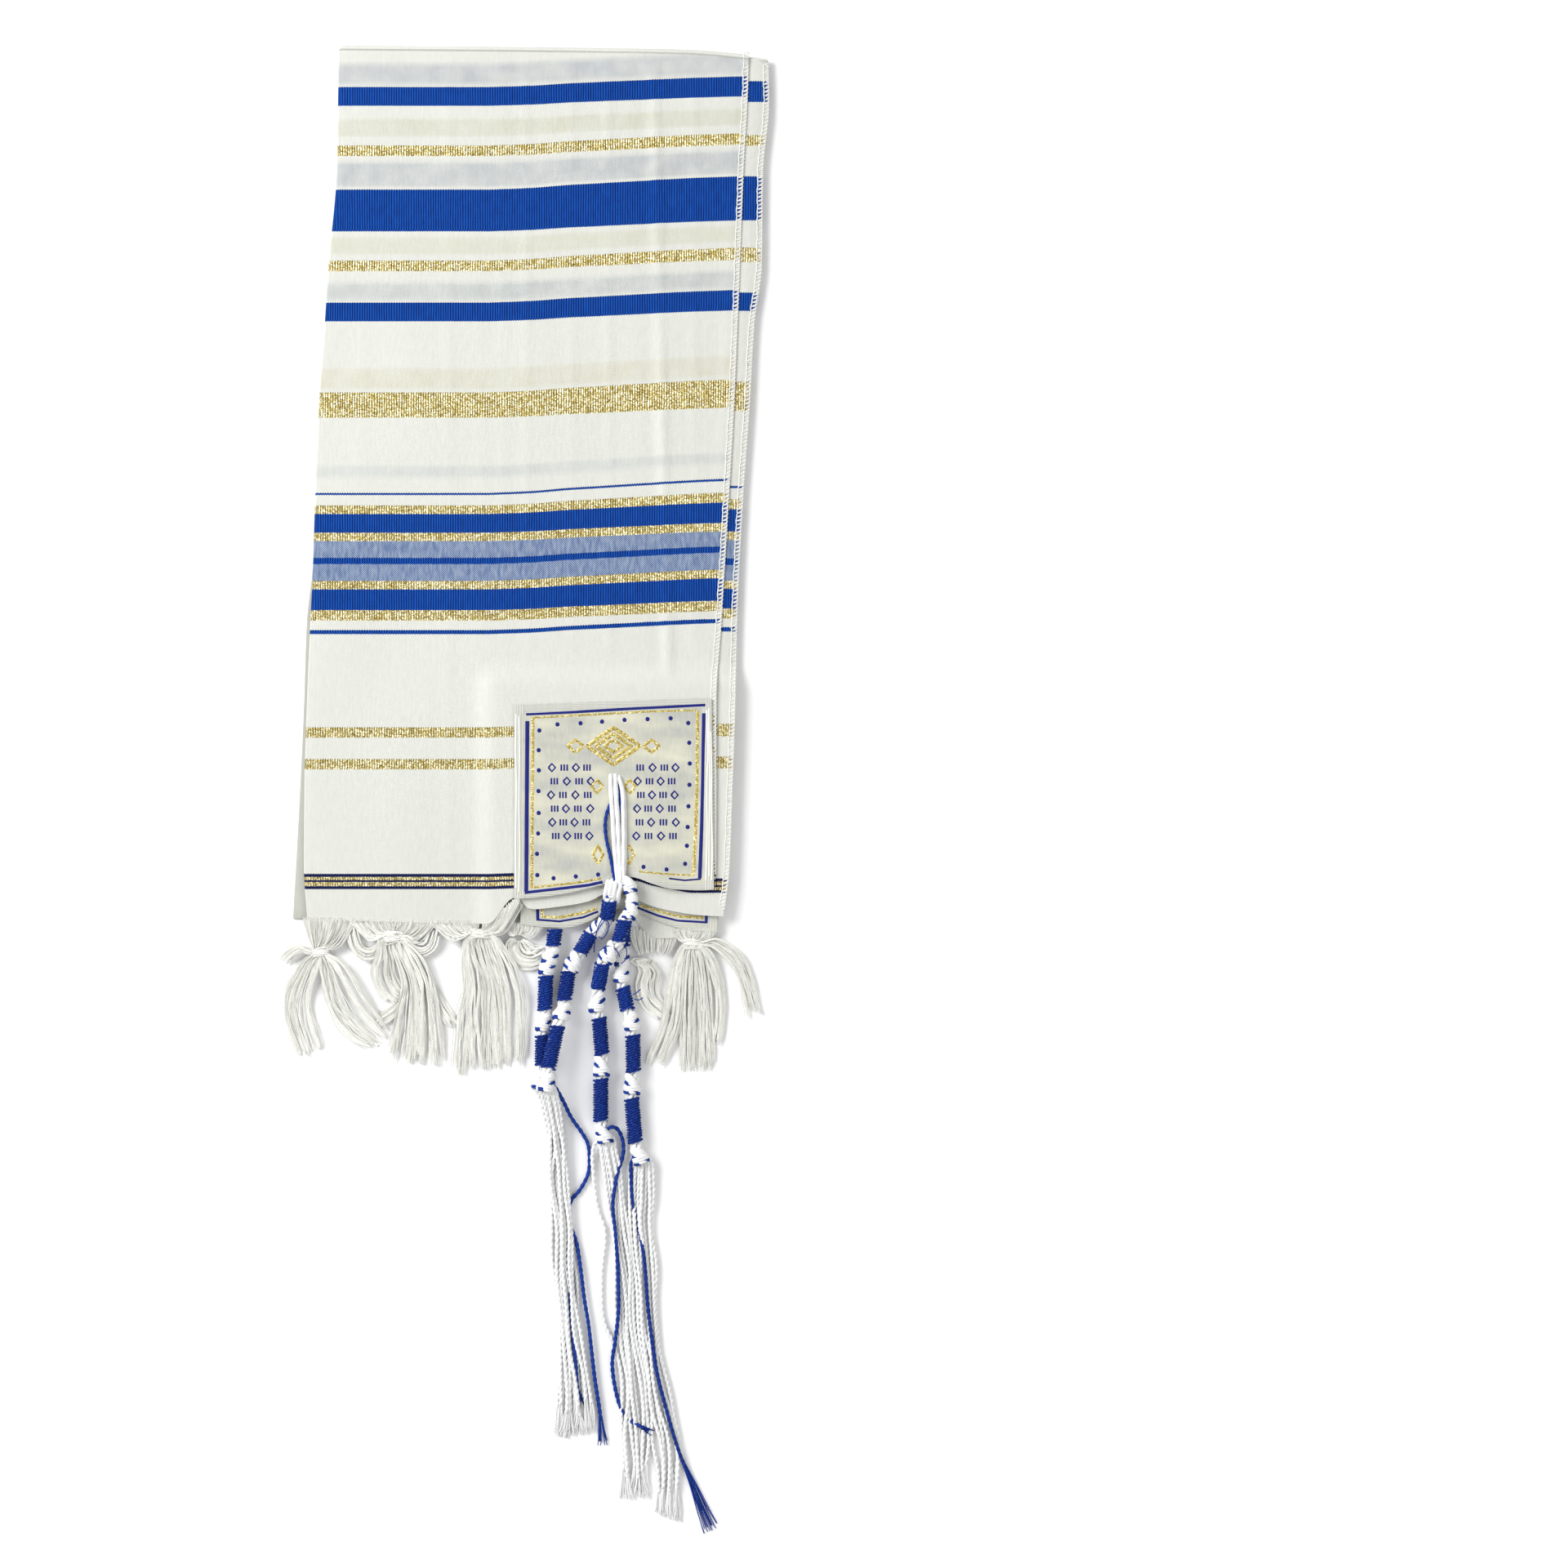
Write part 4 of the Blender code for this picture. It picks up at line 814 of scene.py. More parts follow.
@dataclass(frozen=True)
class WovenPatch:
    """The patches' ground: a close grey and cream weave with a soft sheen."""

    name: str = "patch_ground"
    grey: Colour = (0.40, 0.41, 0.38, 1.0)
    cream: Colour = (0.72, 0.70, 0.53, 1.0)
    margin: Colour = (0.76, 0.76, 0.68, 1.0)
    margin_shade: Colour = (0.50, 0.51, 0.47, 1.0)
    weave_pitch: float = 0.0006
    level_pitch: float = 0.0009
    upright_pitch: float = 0.0013
    middle: float = 0.047
    half_inside: float = 0.0462
    relief: float = 0.0003

    def build(self, groups: Groups) -> Material:
        """Makes the material; the margin is masked by the piece's own map, in metres from its edge.

        Args:
            groups: The shared node groups.

        Returns:
            The material.
        """
        material, shader, skin = start_material(self.name)
        _, across, along = shader.cloth_place()
        weave = shader.group(groups.weave, Across=across, Along=along, Pitch=self.weave_pitch)
        level = shader.group(groups.ribs, Across=along, Along=across, Pitch=self.level_pitch)
        upright = shader.group(groups.ribs, Across=across, Along=along, Pitch=self.upright_pitch)
        off_middle = shader.math("ABSOLUTE", shader.math("SUBTRACT", across, self.middle))
        beside = shader.math("GREATER_THAN", off_middle, self.half_inside)
        ribs = shader.mix(beside, level.outputs["Height"], upright.outputs["Height"])
        cloud = shader.noise(shader.join(shader.math("MULTIPLY", across, 0.35), along), 0.012, 2.0)
        ground = shader.mix(shader.scale(cloud, 0.34, 0.74), self.grey, self.cream)
        ground = shader.mix(shader.scale(weave.outputs["Check"], 0.1, 0.9, 0.0, 0.5), ground, self.margin)
        edge = shader.node("ShaderNodeAttribute", attribute_name="margin").outputs["Fac"]
        ribbed = shader.math("MULTIPLY", ribs, weave.outputs["Shade"])
        rim = shader.mix(0.2, shader.mix(ribbed, self.margin_shade, self.margin), self.margin)
        height = shader.math("ADD", weave.outputs["Height"], shader.math("MULTIPLY", ribs, edge))
        shader.fill(
            skin,
            Base_Color=shader.mix(edge, ground, rim),
            Normal=shader.bump(height, self.relief, 0.9),
            Roughness=0.7,
            Specular_IOR_Level=0.2,
        )
        return material


@dataclass(frozen=True)
class Thread:
    """A cotton, silky or metal thread: its colour, its shaded colour and how it shines."""

    name: str
    colour: Colour
    shade: Colour
    fibre: float = 0.0008
    relief: float = 0.0002
    roughness: float = 0.8
    shine: float = 0.2
    variety: float = 0.25

    def build(self, groups: Groups) -> Material:
        """Makes the material; it reads Object coordinates and each thread's own tone.

        Args:
            groups: The shared node groups.

        Returns:
            The material.
        """
        material, shader, skin = start_material(self.name)
        place = shader.node("ShaderNodeTexCoord").outputs["Object"]
        fibres = shader.group(groups.fibres, Vector=place, Size=self.fibre)
        shade = shader.scale(fibres.outputs["Shade"], 0.2, 0.5)
        tone = shader.node("ShaderNodeAttribute", attribute_name="tone").outputs["Fac"]
        shade = shader.mix(self.variety, shade, tone)
        shader.fill(
            skin,
            Base_Color=shader.mix(shade, self.shade, self.colour),
            Normal=shader.bump(fibres.outputs["Height"], self.relief, 0.6),
            Roughness=self.roughness,
            Specular_IOR_Level=self.shine,
        )
        return material


@dataclass(frozen=True)
class MetalThread:
    """Gold metal thread that glitters."""

    name: str = "gold_thread"
    dark: Colour = (0.16, 0.11, 0.02, 1.0)
    gold: Colour = (0.50, 0.38, 0.08, 1.0)
    light: Colour = (0.98, 0.90, 0.48, 1.0)
    cell: float = 0.0006
    relief: float = 0.0002

    def build(self, groups: Groups) -> Material:
        """Makes the material; it reads Object coordinates.

        Args:
            groups: The shared node groups.

        Returns:
            The material.
        """
        material, shader, skin = start_material(self.name)
        place = shader.node("ShaderNodeTexCoord").outputs["Object"]
        speck = shader.group(groups.glitter, Vector=place, Size=self.cell).outputs["Speck"]
        stops = [(0.0, self.dark), (0.3, self.gold), (0.7, self.gold), (0.92, self.light)]
        shader.fill(
            skin,
            Base_Color=shader.ramp(speck, stops).outputs["Color"],
            Normal=shader.bump(speck, self.relief, 0.7),
            Metallic=0.35,
            Roughness=0.42,
        )
        return material


@dataclass(frozen=True)
class Backdrop:
    """The plain pale ground that the shawl lies on."""

    name: str = "pale_floor"
    colour: Colour = (0.93, 0.93, 0.93, 1.0)

    def build(self) -> Material:
        """Makes the material.

        Returns:
            The material.
        """
        material, shader, skin = start_material(self.name)
        shader.fill(skin, Base_Color=self.colour, Roughness=0.9)
        return material


@dataclass
class Finishes:
    """Every finish of the shawl."""

    groups: Groups = field(default_factory=Groups)

    def __post_init__(self) -> None:
        """Makes the materials."""
        self.top_cloth = ShawlCloth("shawl_cloth_top", shows_through=True).build(self.groups)
        self.cloth = ShawlCloth("shawl_cloth").build(self.groups)
        # The bottom layer's cloth, with its white greyed as painted shade: that strip lies in the shade of
        # the layers above it.
        self.painted_shade_cloth = ShawlCloth(
            "shawl_cloth_painted_shade", white=(0.55, 0.555, 0.50, 1.0), white_shade=(0.45, 0.455, 0.41, 1.0)
        ).build(self.groups)
        self.patch = WovenPatch().build(self.groups)
        self.white_cord = Thread(
            "white_cotton_cord", (0.87, 0.87, 0.86, 1.0), (0.74, 0.75, 0.75, 1.0)
        ).build(self.groups)
        self.blue_cord = Thread(
            "blue_cotton_cord", (0.010, 0.055, 0.36, 1.0), (0.004, 0.014, 0.13, 1.0), roughness=0.75
        ).build(self.groups)
        self.fringe = Thread(
            "silky_fringe_yarn", (0.97, 0.97, 0.93, 1.0), (0.62, 0.62, 0.57, 1.0), relief=0.0001,
            roughness=0.5, shine=0.4, variety=0.8,
        ).build(self.groups)
        self.stitch = Thread(
            "white_stitches", (0.84, 0.84, 0.80, 1.0), (0.74, 0.74, 0.70, 1.0), fibre=0.0005
        ).build(self.groups)
        self.blue_thread = Thread(
            "blue_patch_thread", (0.012, 0.018, 0.22, 1.0), (0.006, 0.008, 0.09, 1.0), fibre=0.0006,
            roughness=0.6,
        ).build(self.groups)
        self.gold_thread = MetalThread().build(self.groups)


# Cloth layers


def make_sheet(
    name: str,
    points: Array,
    cloth_map: Array,
    wall: float,
    material: Material,
    margin: Array | None = None,
    rounded: float = 0.0,
) -> Piece:
    """Makes a thin shell of cloth from a grid of its upper side.

    Args:
        name: The piece's name.
        points: Rows of points in millimetres, the top end's row first, the left point first.
        cloth_map: The place across and along the cloth of each point, in millimetres.
        wall: The shell's thickness, downwards.
        material: Its finish.
        margin: A share from 0 to 1 for each point, where the piece has a sewn margin.
        rounded: How far its rim is rounded.

    Returns:
        The new object.
    """
    rows, across = points.shape[:2]
    corner = (np.arange(rows - 1)[:, None] * across + np.arange(across - 1)[None, :]).ravel()
    faces = np.stack([corner, corner + across, corner + across + 1, corner + 1], axis=1)
    mesh = bpy.data.meshes.new(name)
    mesh.from_pydata((points.reshape(-1, 3) * MM).tolist(), [], faces.tolist())
    layer = mesh.uv_layers.new(name="cloth")
    layer.data.foreach_set("uv", (cloth_map.reshape(-1, 2) * MM)[faces.ravel()].ravel())
    if margin is not None:
        attribute = mesh.attributes.new("margin", "FLOAT", "POINT")
        attribute.data.foreach_set("value", margin.ravel())
    mesh.materials.append(material)
    piece = bpy.data.objects.new(name, mesh)
    bpy.context.scene.collection.objects.link(piece)
    choose(piece)
    thicken = piece.modifiers.new("wall", "SOLIDIFY")
    thicken.thickness = wall * MM
    thicken.offset = -1.0
    bpy.ops.object.modifier_apply(modifier=thicken.name)
    if rounded:
        bevel = piece.modifiers.new("rounded rim", "BEVEL")
        bevel.width = rounded * MM
        bevel.segments = 2
        bevel.angle_limit = math.radians(60.0)
        bpy.ops.object.modifier_apply(modifier=bevel.name)
    smooth_piece(piece, 50.0)
    return piece


@dataclass(frozen=True)
class Crease:
    """A soft crease in the top layer, from one end to the other; a trough has a height below 0."""

    start: Spot
    end: Spot
    height: float
    width: float

    def relief(self, x: Array, y: Array) -> Array:
        """How far the crease lifts the cloth at each point, uneven along its length.

        Args:
            x: Places across the cloth.
            y: Places along it.

        Returns:
            The lift at each place.
        """
        start, way = np.array(self.start), np.array(self.end) - np.array(self.start)
        length = float(np.hypot(*way))
        along = ((x - start[0]) * way[0] + (y - start[1]) * way[1]) / length
        off = ((x - start[0]) * way[1] - (y - start[1]) * way[0]) / length
        fade = soft_step(along, -6.0, 10.0) * soft_step(-along, -length - 6.0, -length + 12.0)
        uneven = 0.75 + 0.25 * np.sin(along / 19.0 + self.start[0])
        return self.height * uneven * fade * np.exp(-((off / self.width) ** 2))


# Each crease: its start and its end, its height and its width
CREASE_TABLE = table("""
    67 379 75 55 1.15 2.3; 1.5 378 2.5 66 0.5 1.9; 61 379 69 60 -0.4 3.4; -38 379 -38 -60 0.34 1.9;
    -10.6 378 -10 66 0.26 2; 25 376 25.4 70 0.36 2; 43.6 378 44.4 66 0.5 1.9; 87.6 376 88 70 0.4 2;
    57.8 381 66.6 362 0.6 1.5; 81.7 380.5 72.5 363 0.6 1.5; -80 330 -84 150 0.2 4; -24 300 -20 80 0.16 4;
    102 340 96 70 -0.3 3; -12 60 -9 -62 0.3 3
""")
CREASES = tuple(Crease(row[:2], row[2:4], *row[4:]) for row in CREASE_TABLE)


def front_height(x: Array, y: Array) -> Array:
    """The height of the top layer's upper side.

    Args:
        x: Places across the cloth.
        y: Places along it.

    Returns:
        The height at each place.
    """
    height = FRONT_TOP + PATCH_LIFT * lift_share(x, y)
    calm = 1.0 - lift_share(x, y)
    for crease in CREASES:
        height = height + crease.relief(x, y) * calm
    swell = 0.10 * np.sin(x / 17.0 + y / 61.0) + 0.08 * np.sin(x / 9.5 - y / 37.0 + 1.0)
    settle = 0.6 * soft_step(x - FRONT_RIGHT.at(y), -4.5, 0.0)
    return height + (swell - settle) * calm - 0.1


def second_height(x: Array, y: Array) -> Array:
    """The height of the second layer's upper side.

    Args:
        x: Places across the cloth.
        y: Places along it.

    Returns:
        The height at each place.
    """
    settle = 1.1 * soft_step(x - SECOND_RIGHT.at(y), -5.0, 0.0) * (1.0 - lift_share(x, y))
    wave = 0.06 * np.sin(y / 13.0) * soft_step(x, 90.0, 104.0)
    return SECOND_TOP + PATCH_LIFT * lift_share(x, y) + wave - settle


@dataclass
class FrontLayer:
    """The top layer, folded round at the left side and over the top end."""

    columns: int = 96
    rows: int = 200
    wall: float = 0.6
    left_angles: tuple[float, ...] = (158.0, 135.0, 112.0, 90.0, 68.0, 46.0, 23.0)
    top_angles: tuple[float, ...] = (168.0, 150.0, 130.0, 110.0, 90.0, 72.0, 54.0, 36.0, 18.0)
    opening: float = 0.5

    def build(self, finishes: Finishes) -> Piece:
        """Args:
            finishes: The shawl's finishes.

        Returns:
            The piece.
        """
        share = np.concatenate([np.zeros(len(self.left_angles)), np.linspace(0.0, 1.0, self.columns)])
        bent = np.concatenate([np.radians(self.left_angles), np.zeros(self.columns)])
        points, places = [], []
        for angle in self.top_angles:
            row = self.row(share, bent * (1 - self.opening * min(1.0, angle / 90.0)), 0.0, angle)
            points.append(row)
            places.append(np.stack([row[:, 0], row[:, 1] * 0 + TOP_WEFT + angle / 20.0], axis=1))
        for down in np.linspace(0.0, 1.0, self.rows) ** 0.97:
            row = self.row(share, bent, down, 0.0)
            points.append(row)
            place = weft_place(row[:, 0], row[:, 1], STRIPE_RIGHT, WEFT_RISE.at(row[:, 0]))
            places.append(np.stack([row[:, 0] - LEFT_FOLD_RADIUS * bent, place], axis=1))
        piece = make_sheet("cloth_front", np.array(points), np.array(places), self.wall, finishes.top_cloth)
        dress(piece, "white_cloth", "front_layer")
        return piece

    def row(self, share: Array, bent: Array, down: float, top_angle: float) -> Array:
        """One cross section, from the fold at the left side to the right selvedge.

        Args:
            share: How far across each point is.
            bent: The turn of each point on the fold at the left side, in radians.
            down: How far down the cross section is, from 0 at the top end to 1 at the hem.
            top_angle: The turn on the fold at the top end, in degrees.

        Returns:
            The points.
        """
        y = np.full(share.shape, 382.0 - 448.0 * down)
        for _ in range(4):
            left = FRONT_LEFT.at(y) + LEFT_FOLD_RADIUS
            x = left + (FRONT_RIGHT.at(y) - left) * share - LEFT_FOLD_RADIUS * np.sin(bent)
            top = TOP_END.at(x) - TOP_FOLD_RADIUS
            y = top + (FRONT_HEM.at(x) - top) * down
        depth = LEFT_FOLD_RADIUS * (1 - np.cos(bent))
        if top_angle:
            turn = math.radians(top_angle)
            reach = TOP_FOLD_RADIUS - depth
            height = np.full(x.shape, TOP_FOLD_RADIUS) + reach * math.cos(turn)
            return np.stack([x, top + reach * math.sin(turn), height], axis=1)
        settle = soft_step(np.full(x.shape, down), 0.0, 0.012)
        height = FRONT_TOP + (front_height(x, y) - FRONT_TOP) * settle
        return np.stack([x, y, height - depth], axis=1)


@dataclass
class SecondLayer:
    """The layer below the top one; its selvedge stands out at the right side."""

    columns: int = 60
    rows: int = 170
    wall: float = 0.6
    left_inset: float = 5.6
    top_angles: tuple[float, ...] = (165.0, 135.0, 105.0, 75.0, 45.0, 20.0)
    fold_radius: float = 1.85

    def build(self, finishes: Finishes) -> Piece:
        """Args:
            finishes: The shawl's finishes.

        Returns:
            The piece.
        """
        share = np.linspace(0.0, 1.0, self.columns) ** 0.7
        points, places = [], []
        for angle in self.top_angles:
            row = self.row(share, 0.0)
            turn = math.radians(angle)
            row[:, 1] += self.fold_radius * math.sin(turn)
            row[:, 2] = TOP_FOLD_RADIUS + self.fold_radius * math.cos(turn)
            points.append(row)
            places.append(np.stack([row[:, 0], row[:, 1] * 0 + TOP_WEFT + angle / 30.0], axis=1))
        for down in np.linspace(0.0, 1.0, self.rows):
            row = self.row(share, down)
            points.append(row)
            place = weft_place(row[:, 0], row[:, 1], STRIPE_STRIP, SECOND_RISE.at(row[:, 0]))
            places.append(np.stack([row[:, 0], place], axis=1))
        piece = make_sheet("cloth_second", np.array(points), np.array(places), self.wall, finishes.cloth)
        dress(piece, "white_cloth", "second_layer")
        return piece

    def row(self, share: Array, down: float) -> Array:
        """One cross section, from the left side to the right selvedge, at a share of the way down.

        Args:
            share: How far across each point is.
            down: How far down the section is, from 0 to 1.

        Returns:
            The points.
        """
        y = np.full(share.shape, 382.0 - 446.0 * down)
        for _ in range(4):
            left = FRONT_LEFT.at(y) + self.left_inset
            x = left + (SECOND_RIGHT.at(y) - left) * share
            top = TOP_END.at(x) - TOP_FOLD_RADIUS
            y = top + (SECOND_HEM.at(x) - top) * down
        return np.stack([x, y, second_height(x, y)], axis=1)


@dataclass
class HiddenLayers:
    """The five layers between, whose edges show one above the other all round."""

    left_insets: tuple[float, ...] = (2.2, 2.8, 1.9, 2.6, 2.1)
    right_insets: tuple[float, ...] = (2.6, 3.6, 2.2, 3.1, 4.4)
    hem_insets: tuple[float, ...] = (0.2, 1.6, 0.9, 2.3, 0.0)
    wall: float = 0.2
    columns: int = 34
    rows: int = 70

    def build(self, finishes: Finishes) -> Piece:
        """Args:
            finishes: The shawl's finishes.

        Returns:
            The piece.
        """
        share = np.linspace(0.0, 1.0, self.columns)
        made = []
        insets = list(zip(self.left_insets, self.right_insets, self.hem_insets))
        for level, (left_in, right_in, hem_in) in enumerate(insets):
            points = []
            for down in np.linspace(0.0, 1.0, self.rows):
                y = np.full(share.shape, 378.0 - 440.0 * down)
                for _ in range(4):
                    left = FRONT_LEFT.at(y) + LEFT_FOLD_RADIUS + left_in
                    x = left + (SECOND_RIGHT.at(y) - right_in - left) * share
                    top = TOP_END.at(x) - TOP_FOLD_RADIUS - left_in
                    y = top + (CORE_HEM.at(x) + hem_in - top) * down
                low = CORE_BOTTOM + PATCH_STEP * lift_share(x, y)
                z = low + (CORE_TOP - low) * (level + 1) / len(insets)
                points.append(np.stack([x, y, z - SHEET_GAP], axis=1))
            grid = np.array(points)
            place = weft_place(grid[..., 0], grid[..., 1], STRIPE_STRIP, np.ones(grid.shape[:2]))
            places = np.stack([grid[..., 0], place], axis=2)
            made.append(make_sheet(f"hidden_{level}", grid, places, self.wall, finishes.cloth))
        choose(made[0])
        for other in made[1:]:
            other.select_set(True)
        bpy.ops.object.join()
        piece = made[0]
        piece.name = piece.data.name = "cloth_hidden"
        dress(piece, "white_cloth", "fold_core")
        return piece


@dataclass
class BackLayer:
    """The bottom layer, flat on the ground; its fold shows along the lower left side."""

    columns: int = 40
    rows: int = 90
    wall: float = 0.96
    right_inset: float = 4.2
    end_inset: float = 0.4
    past_stripes: float = 700.0

    def build(self, finishes: Finishes) -> Piece:
        """Args:
            finishes: The shawl's finishes.

        Returns:
            The piece.
        """
        share = np.linspace(0.0, 1.0, self.columns)
        points = []
        for down in np.linspace(0.0, 1.0, self.rows):
            y = np.full(share.shape, 378.0 - 444.0 * down)
            for _ in range(4):
                left = BACK_LEFT.at(y)
                x = left + (SECOND_RIGHT.at(y) - self.right_inset - left) * share
                top = TOP_END.at(x) - TOP_FOLD_RADIUS - self.end_inset
                y = top + (BACK_END - top) * down
            points.append(np.stack([x, y, np.full(x.shape, BACK_TOP - SHEET_GAP)], axis=1))
        grid = np.array(points)
        places = grid[..., :2].copy()
        places[..., 1] -= self.past_stripes
        piece = make_sheet("cloth_back", grid, places, self.wall, finishes.painted_shade_cloth, rounded=0.35)
        dress(piece, "white_cloth", "back_layer")
        return piece


@dataclass
class Selvedge:
    """Overlock stitches along a layer's right edge."""

    name: str
    edge: Profile
    height: Callable[[Array, Array], Array]
    top: float
    bottom: float
    reach: float = 2.5
    pitch: float = 2.0
    thread: float = 0.3
    rim_drop: float = 0.375

    def build(self, finishes: Finishes) -> Piece:
        """Makes the stitches as one joined piece.

        Args:
            finishes: The shawl's finishes.

        Returns:
            The piece.
        """
        weaver = Weaver()
        count = int((self.top - self.bottom) / self.pitch)
        steps = np.arange(count)
        y = self.top - steps * self.pitch
        edge = self.edge.at(y)
        uneven = 0.18 * np.sin(steps * 2.3) + 0.12 * np.sin(steps * 0.9)
        inner = edge - self.reach + uneven
        z = self.height(inner, y)
        outer = self.height(edge - 0.1, y)
        quarter = self.pitch / 4
        between, above = (inner + edge) / 2, (z + outer) / 2 + 0.14
        loop = (
            (inner, y, z + 0.04),
            (between, y + quarter * 0.5, above),
            (edge + 0.05, y + quarter * 0.9, outer + 0.08),
            (edge + 0.14, y + quarter * 0.3, outer - self.rim_drop),
            (edge + 0.05, y - quarter * 1.3, outer + 0.08),
            (between, y - quarter * 2.4, above),
        )
        path = np.array(loop).transpose(2, 0, 1).reshape(-1, 3)
        weaver.tube(path, self.thread, sides=4, upright=(0.0, 1.0, 0.35))
        for k in range(count - 1):
            for x, level in ((inner, z), (edge - 0.25, outer)):
                here = np.array([x[k], y[k] - 0.1, level[k] + 0.06])
                there = np.array([x[k + 1], y[k + 1] + 0.1, level[k + 1] + 0.06])
                middle = (here + there) / 2 + np.array([0.0, 0.0, 0.08])
                weaver.tube(np.array([here, middle, there]), self.thread, sides=4)
        piece = weaver.build(self.name, [finishes.stitch])
        dress(piece, "white_cloth")
        return piece


# Patches


EDGE_XS = numbers("-4.5 4 20.4 33.8 43.5 51 57 66.6 77.1 83.8 91.8 101")
UPPER_EDGE = Profile(EDGE_XS, numbers("""
    -55.7 -55.2 -53.2 -50.2 -47.6 -44 -44.6 -47.8 -50.6 -51 -51.2 -50.6
"""))
MIDDLE_EDGE = Profile(EDGE_XS, numbers("-58 -59 -57.4 -54.9 -50.9 -50.9 -53 -57.4 -60 -61.4 -62 -62.4"))
LOWER_EDGE = Profile(EDGE_XS, numbers("-68.4 -69.6 -70.8 -67.4 -62 -61 -62.6 -66.4 -70 -71.8 -72.8 -73.2"))
HIDDEN_EDGE = Profile(EDGE_XS, numbers("-55 -56 -57 -55 -54 -54 -54 -56 -57 -57 -57 -57"))
WAVE = Profile(EDGE_XS, numbers("0.2 0 0 0.3 0.3 0.3 0.9 1.8 0.9 0.2 0 0"))


@dataclass
class Patch:
    """A square corner patch with a turned margin."""

    name: str
    node: str
    left: float
    right_top: float
    right_bottom: float
    top_left: float
    top_right: float
    bottom_z: float
    edge: Profile
    rests_on: str
    waves: bool = False
    wall: float = 0.7
    cells: int = 76
    margin: float = 4.4
    thickness: float = 0.8
    turned: float = 0.15

    def limits(self, x: Array) -> tuple[Array, Array]:
        """The patch's top and bottom edges at x."""
        share = (x - self.left) / (self.right_top - self.left)
        return self.top_left + (self.top_right - self.top_left) * share, self.edge.at(x)

    def height(self, x: Array, y: Array) -> Array:
        """The height of the patch's upper side.

        Args:
            x: Places across the patch.
            y: Places along it.

        Returns:
            The height at each place.
        """
        top, bottom = self.limits(x)
        down = np.clip((top - y) / (top - bottom), 0.0, 1.0)
        rise = WAVE.at(x) * down**4 if self.waves else 0.0
        ripple = 0.05 * np.sin(x / 7.0 + y / 19.0) + 0.05 * np.sin(x / 15.0 - y / 9.0)
        return self.bottom_z + self.thickness + rise + ripple + self.turned * self.margin_share(x, y)

    def margin_share(self, x: Array, y: Array) -> Array:
        """1 on the turned margin and 0 inside it.

        Args:
            x: Places across the patch.
            y: Places along it.

        Returns:
            The share at each place.
        """
        top, bottom = self.limits(x)
        right = self.right_top + (self.right_bottom - self.right_top) * (top - y) / (top - bottom)
        inside = np.minimum.reduce([x - self.left, right - x, top - y, (y - bottom) * 1.3])
        return 1.0 - soft_step(inside, self.margin - 0.5, self.margin + 0.5)

    def build(self, finishes: Finishes, extras: list[Piece]) -> Piece:
        """Args:
            finishes: The shawl's finishes.
            extras: The pieces sewn or woven on it; not used.

        Returns:
            The piece.
        """
        share = np.linspace(0.0, 1.0, self.cells)
        across, down = np.meshgrid(share, share)
        right = self.right_top + (self.right_bottom - self.right_top) * down
        x = self.left + (right - self.left) * across
        top, bottom = self.limits(x)
        y = top + (bottom - top) * down
        points = np.stack([x, y, self.height(x, y)], axis=2)
        places = np.stack([x, y], axis=2)
        piece = make_sheet(
            self.name, points, places, self.wall, finishes.patch, self.margin_share(x, y), rounded=0.2
        )
        dress(piece, "patch_cloth", self.node)
        length = (self.top_left - float(np.mean(self.edge.at(x)))) * MM
        return piece


PATCHES = (
    Patch("patch_top", "patch_1", -4.3, 96.8, 98.0, 43.3, 46.8, 9.2, UPPER_EDGE, "cloth_front", waves=True),
    Patch(
        "patch_under_second", "patch_2", 0.0, 98.0, 98.0, 42.0, 43.0, 5.3, MIDDLE_EDGE, "patch_lower",
        cells=40,
    ),
    Patch(
        "patch_lower", "patch_3", -1.5, 99.5, 100.0, 34.0, 36.0, 4.0, LOWER_EDGE, "cloth_hidden", cells=60,
    ),
    Patch(
        "patch_below_core", "patch_4", 1.0, 97.0, 97.0, 38.0, 38.0, 1.3, HIDDEN_EDGE, "cloth_back",
        cells=40,
    ),
)


# Half axes of a woven dot
DOT_AXES = np.array([[1.1, 0.3, 0.0], [-0.3, 1.15, 0.0], [0.0, 0.0, 0.22]])


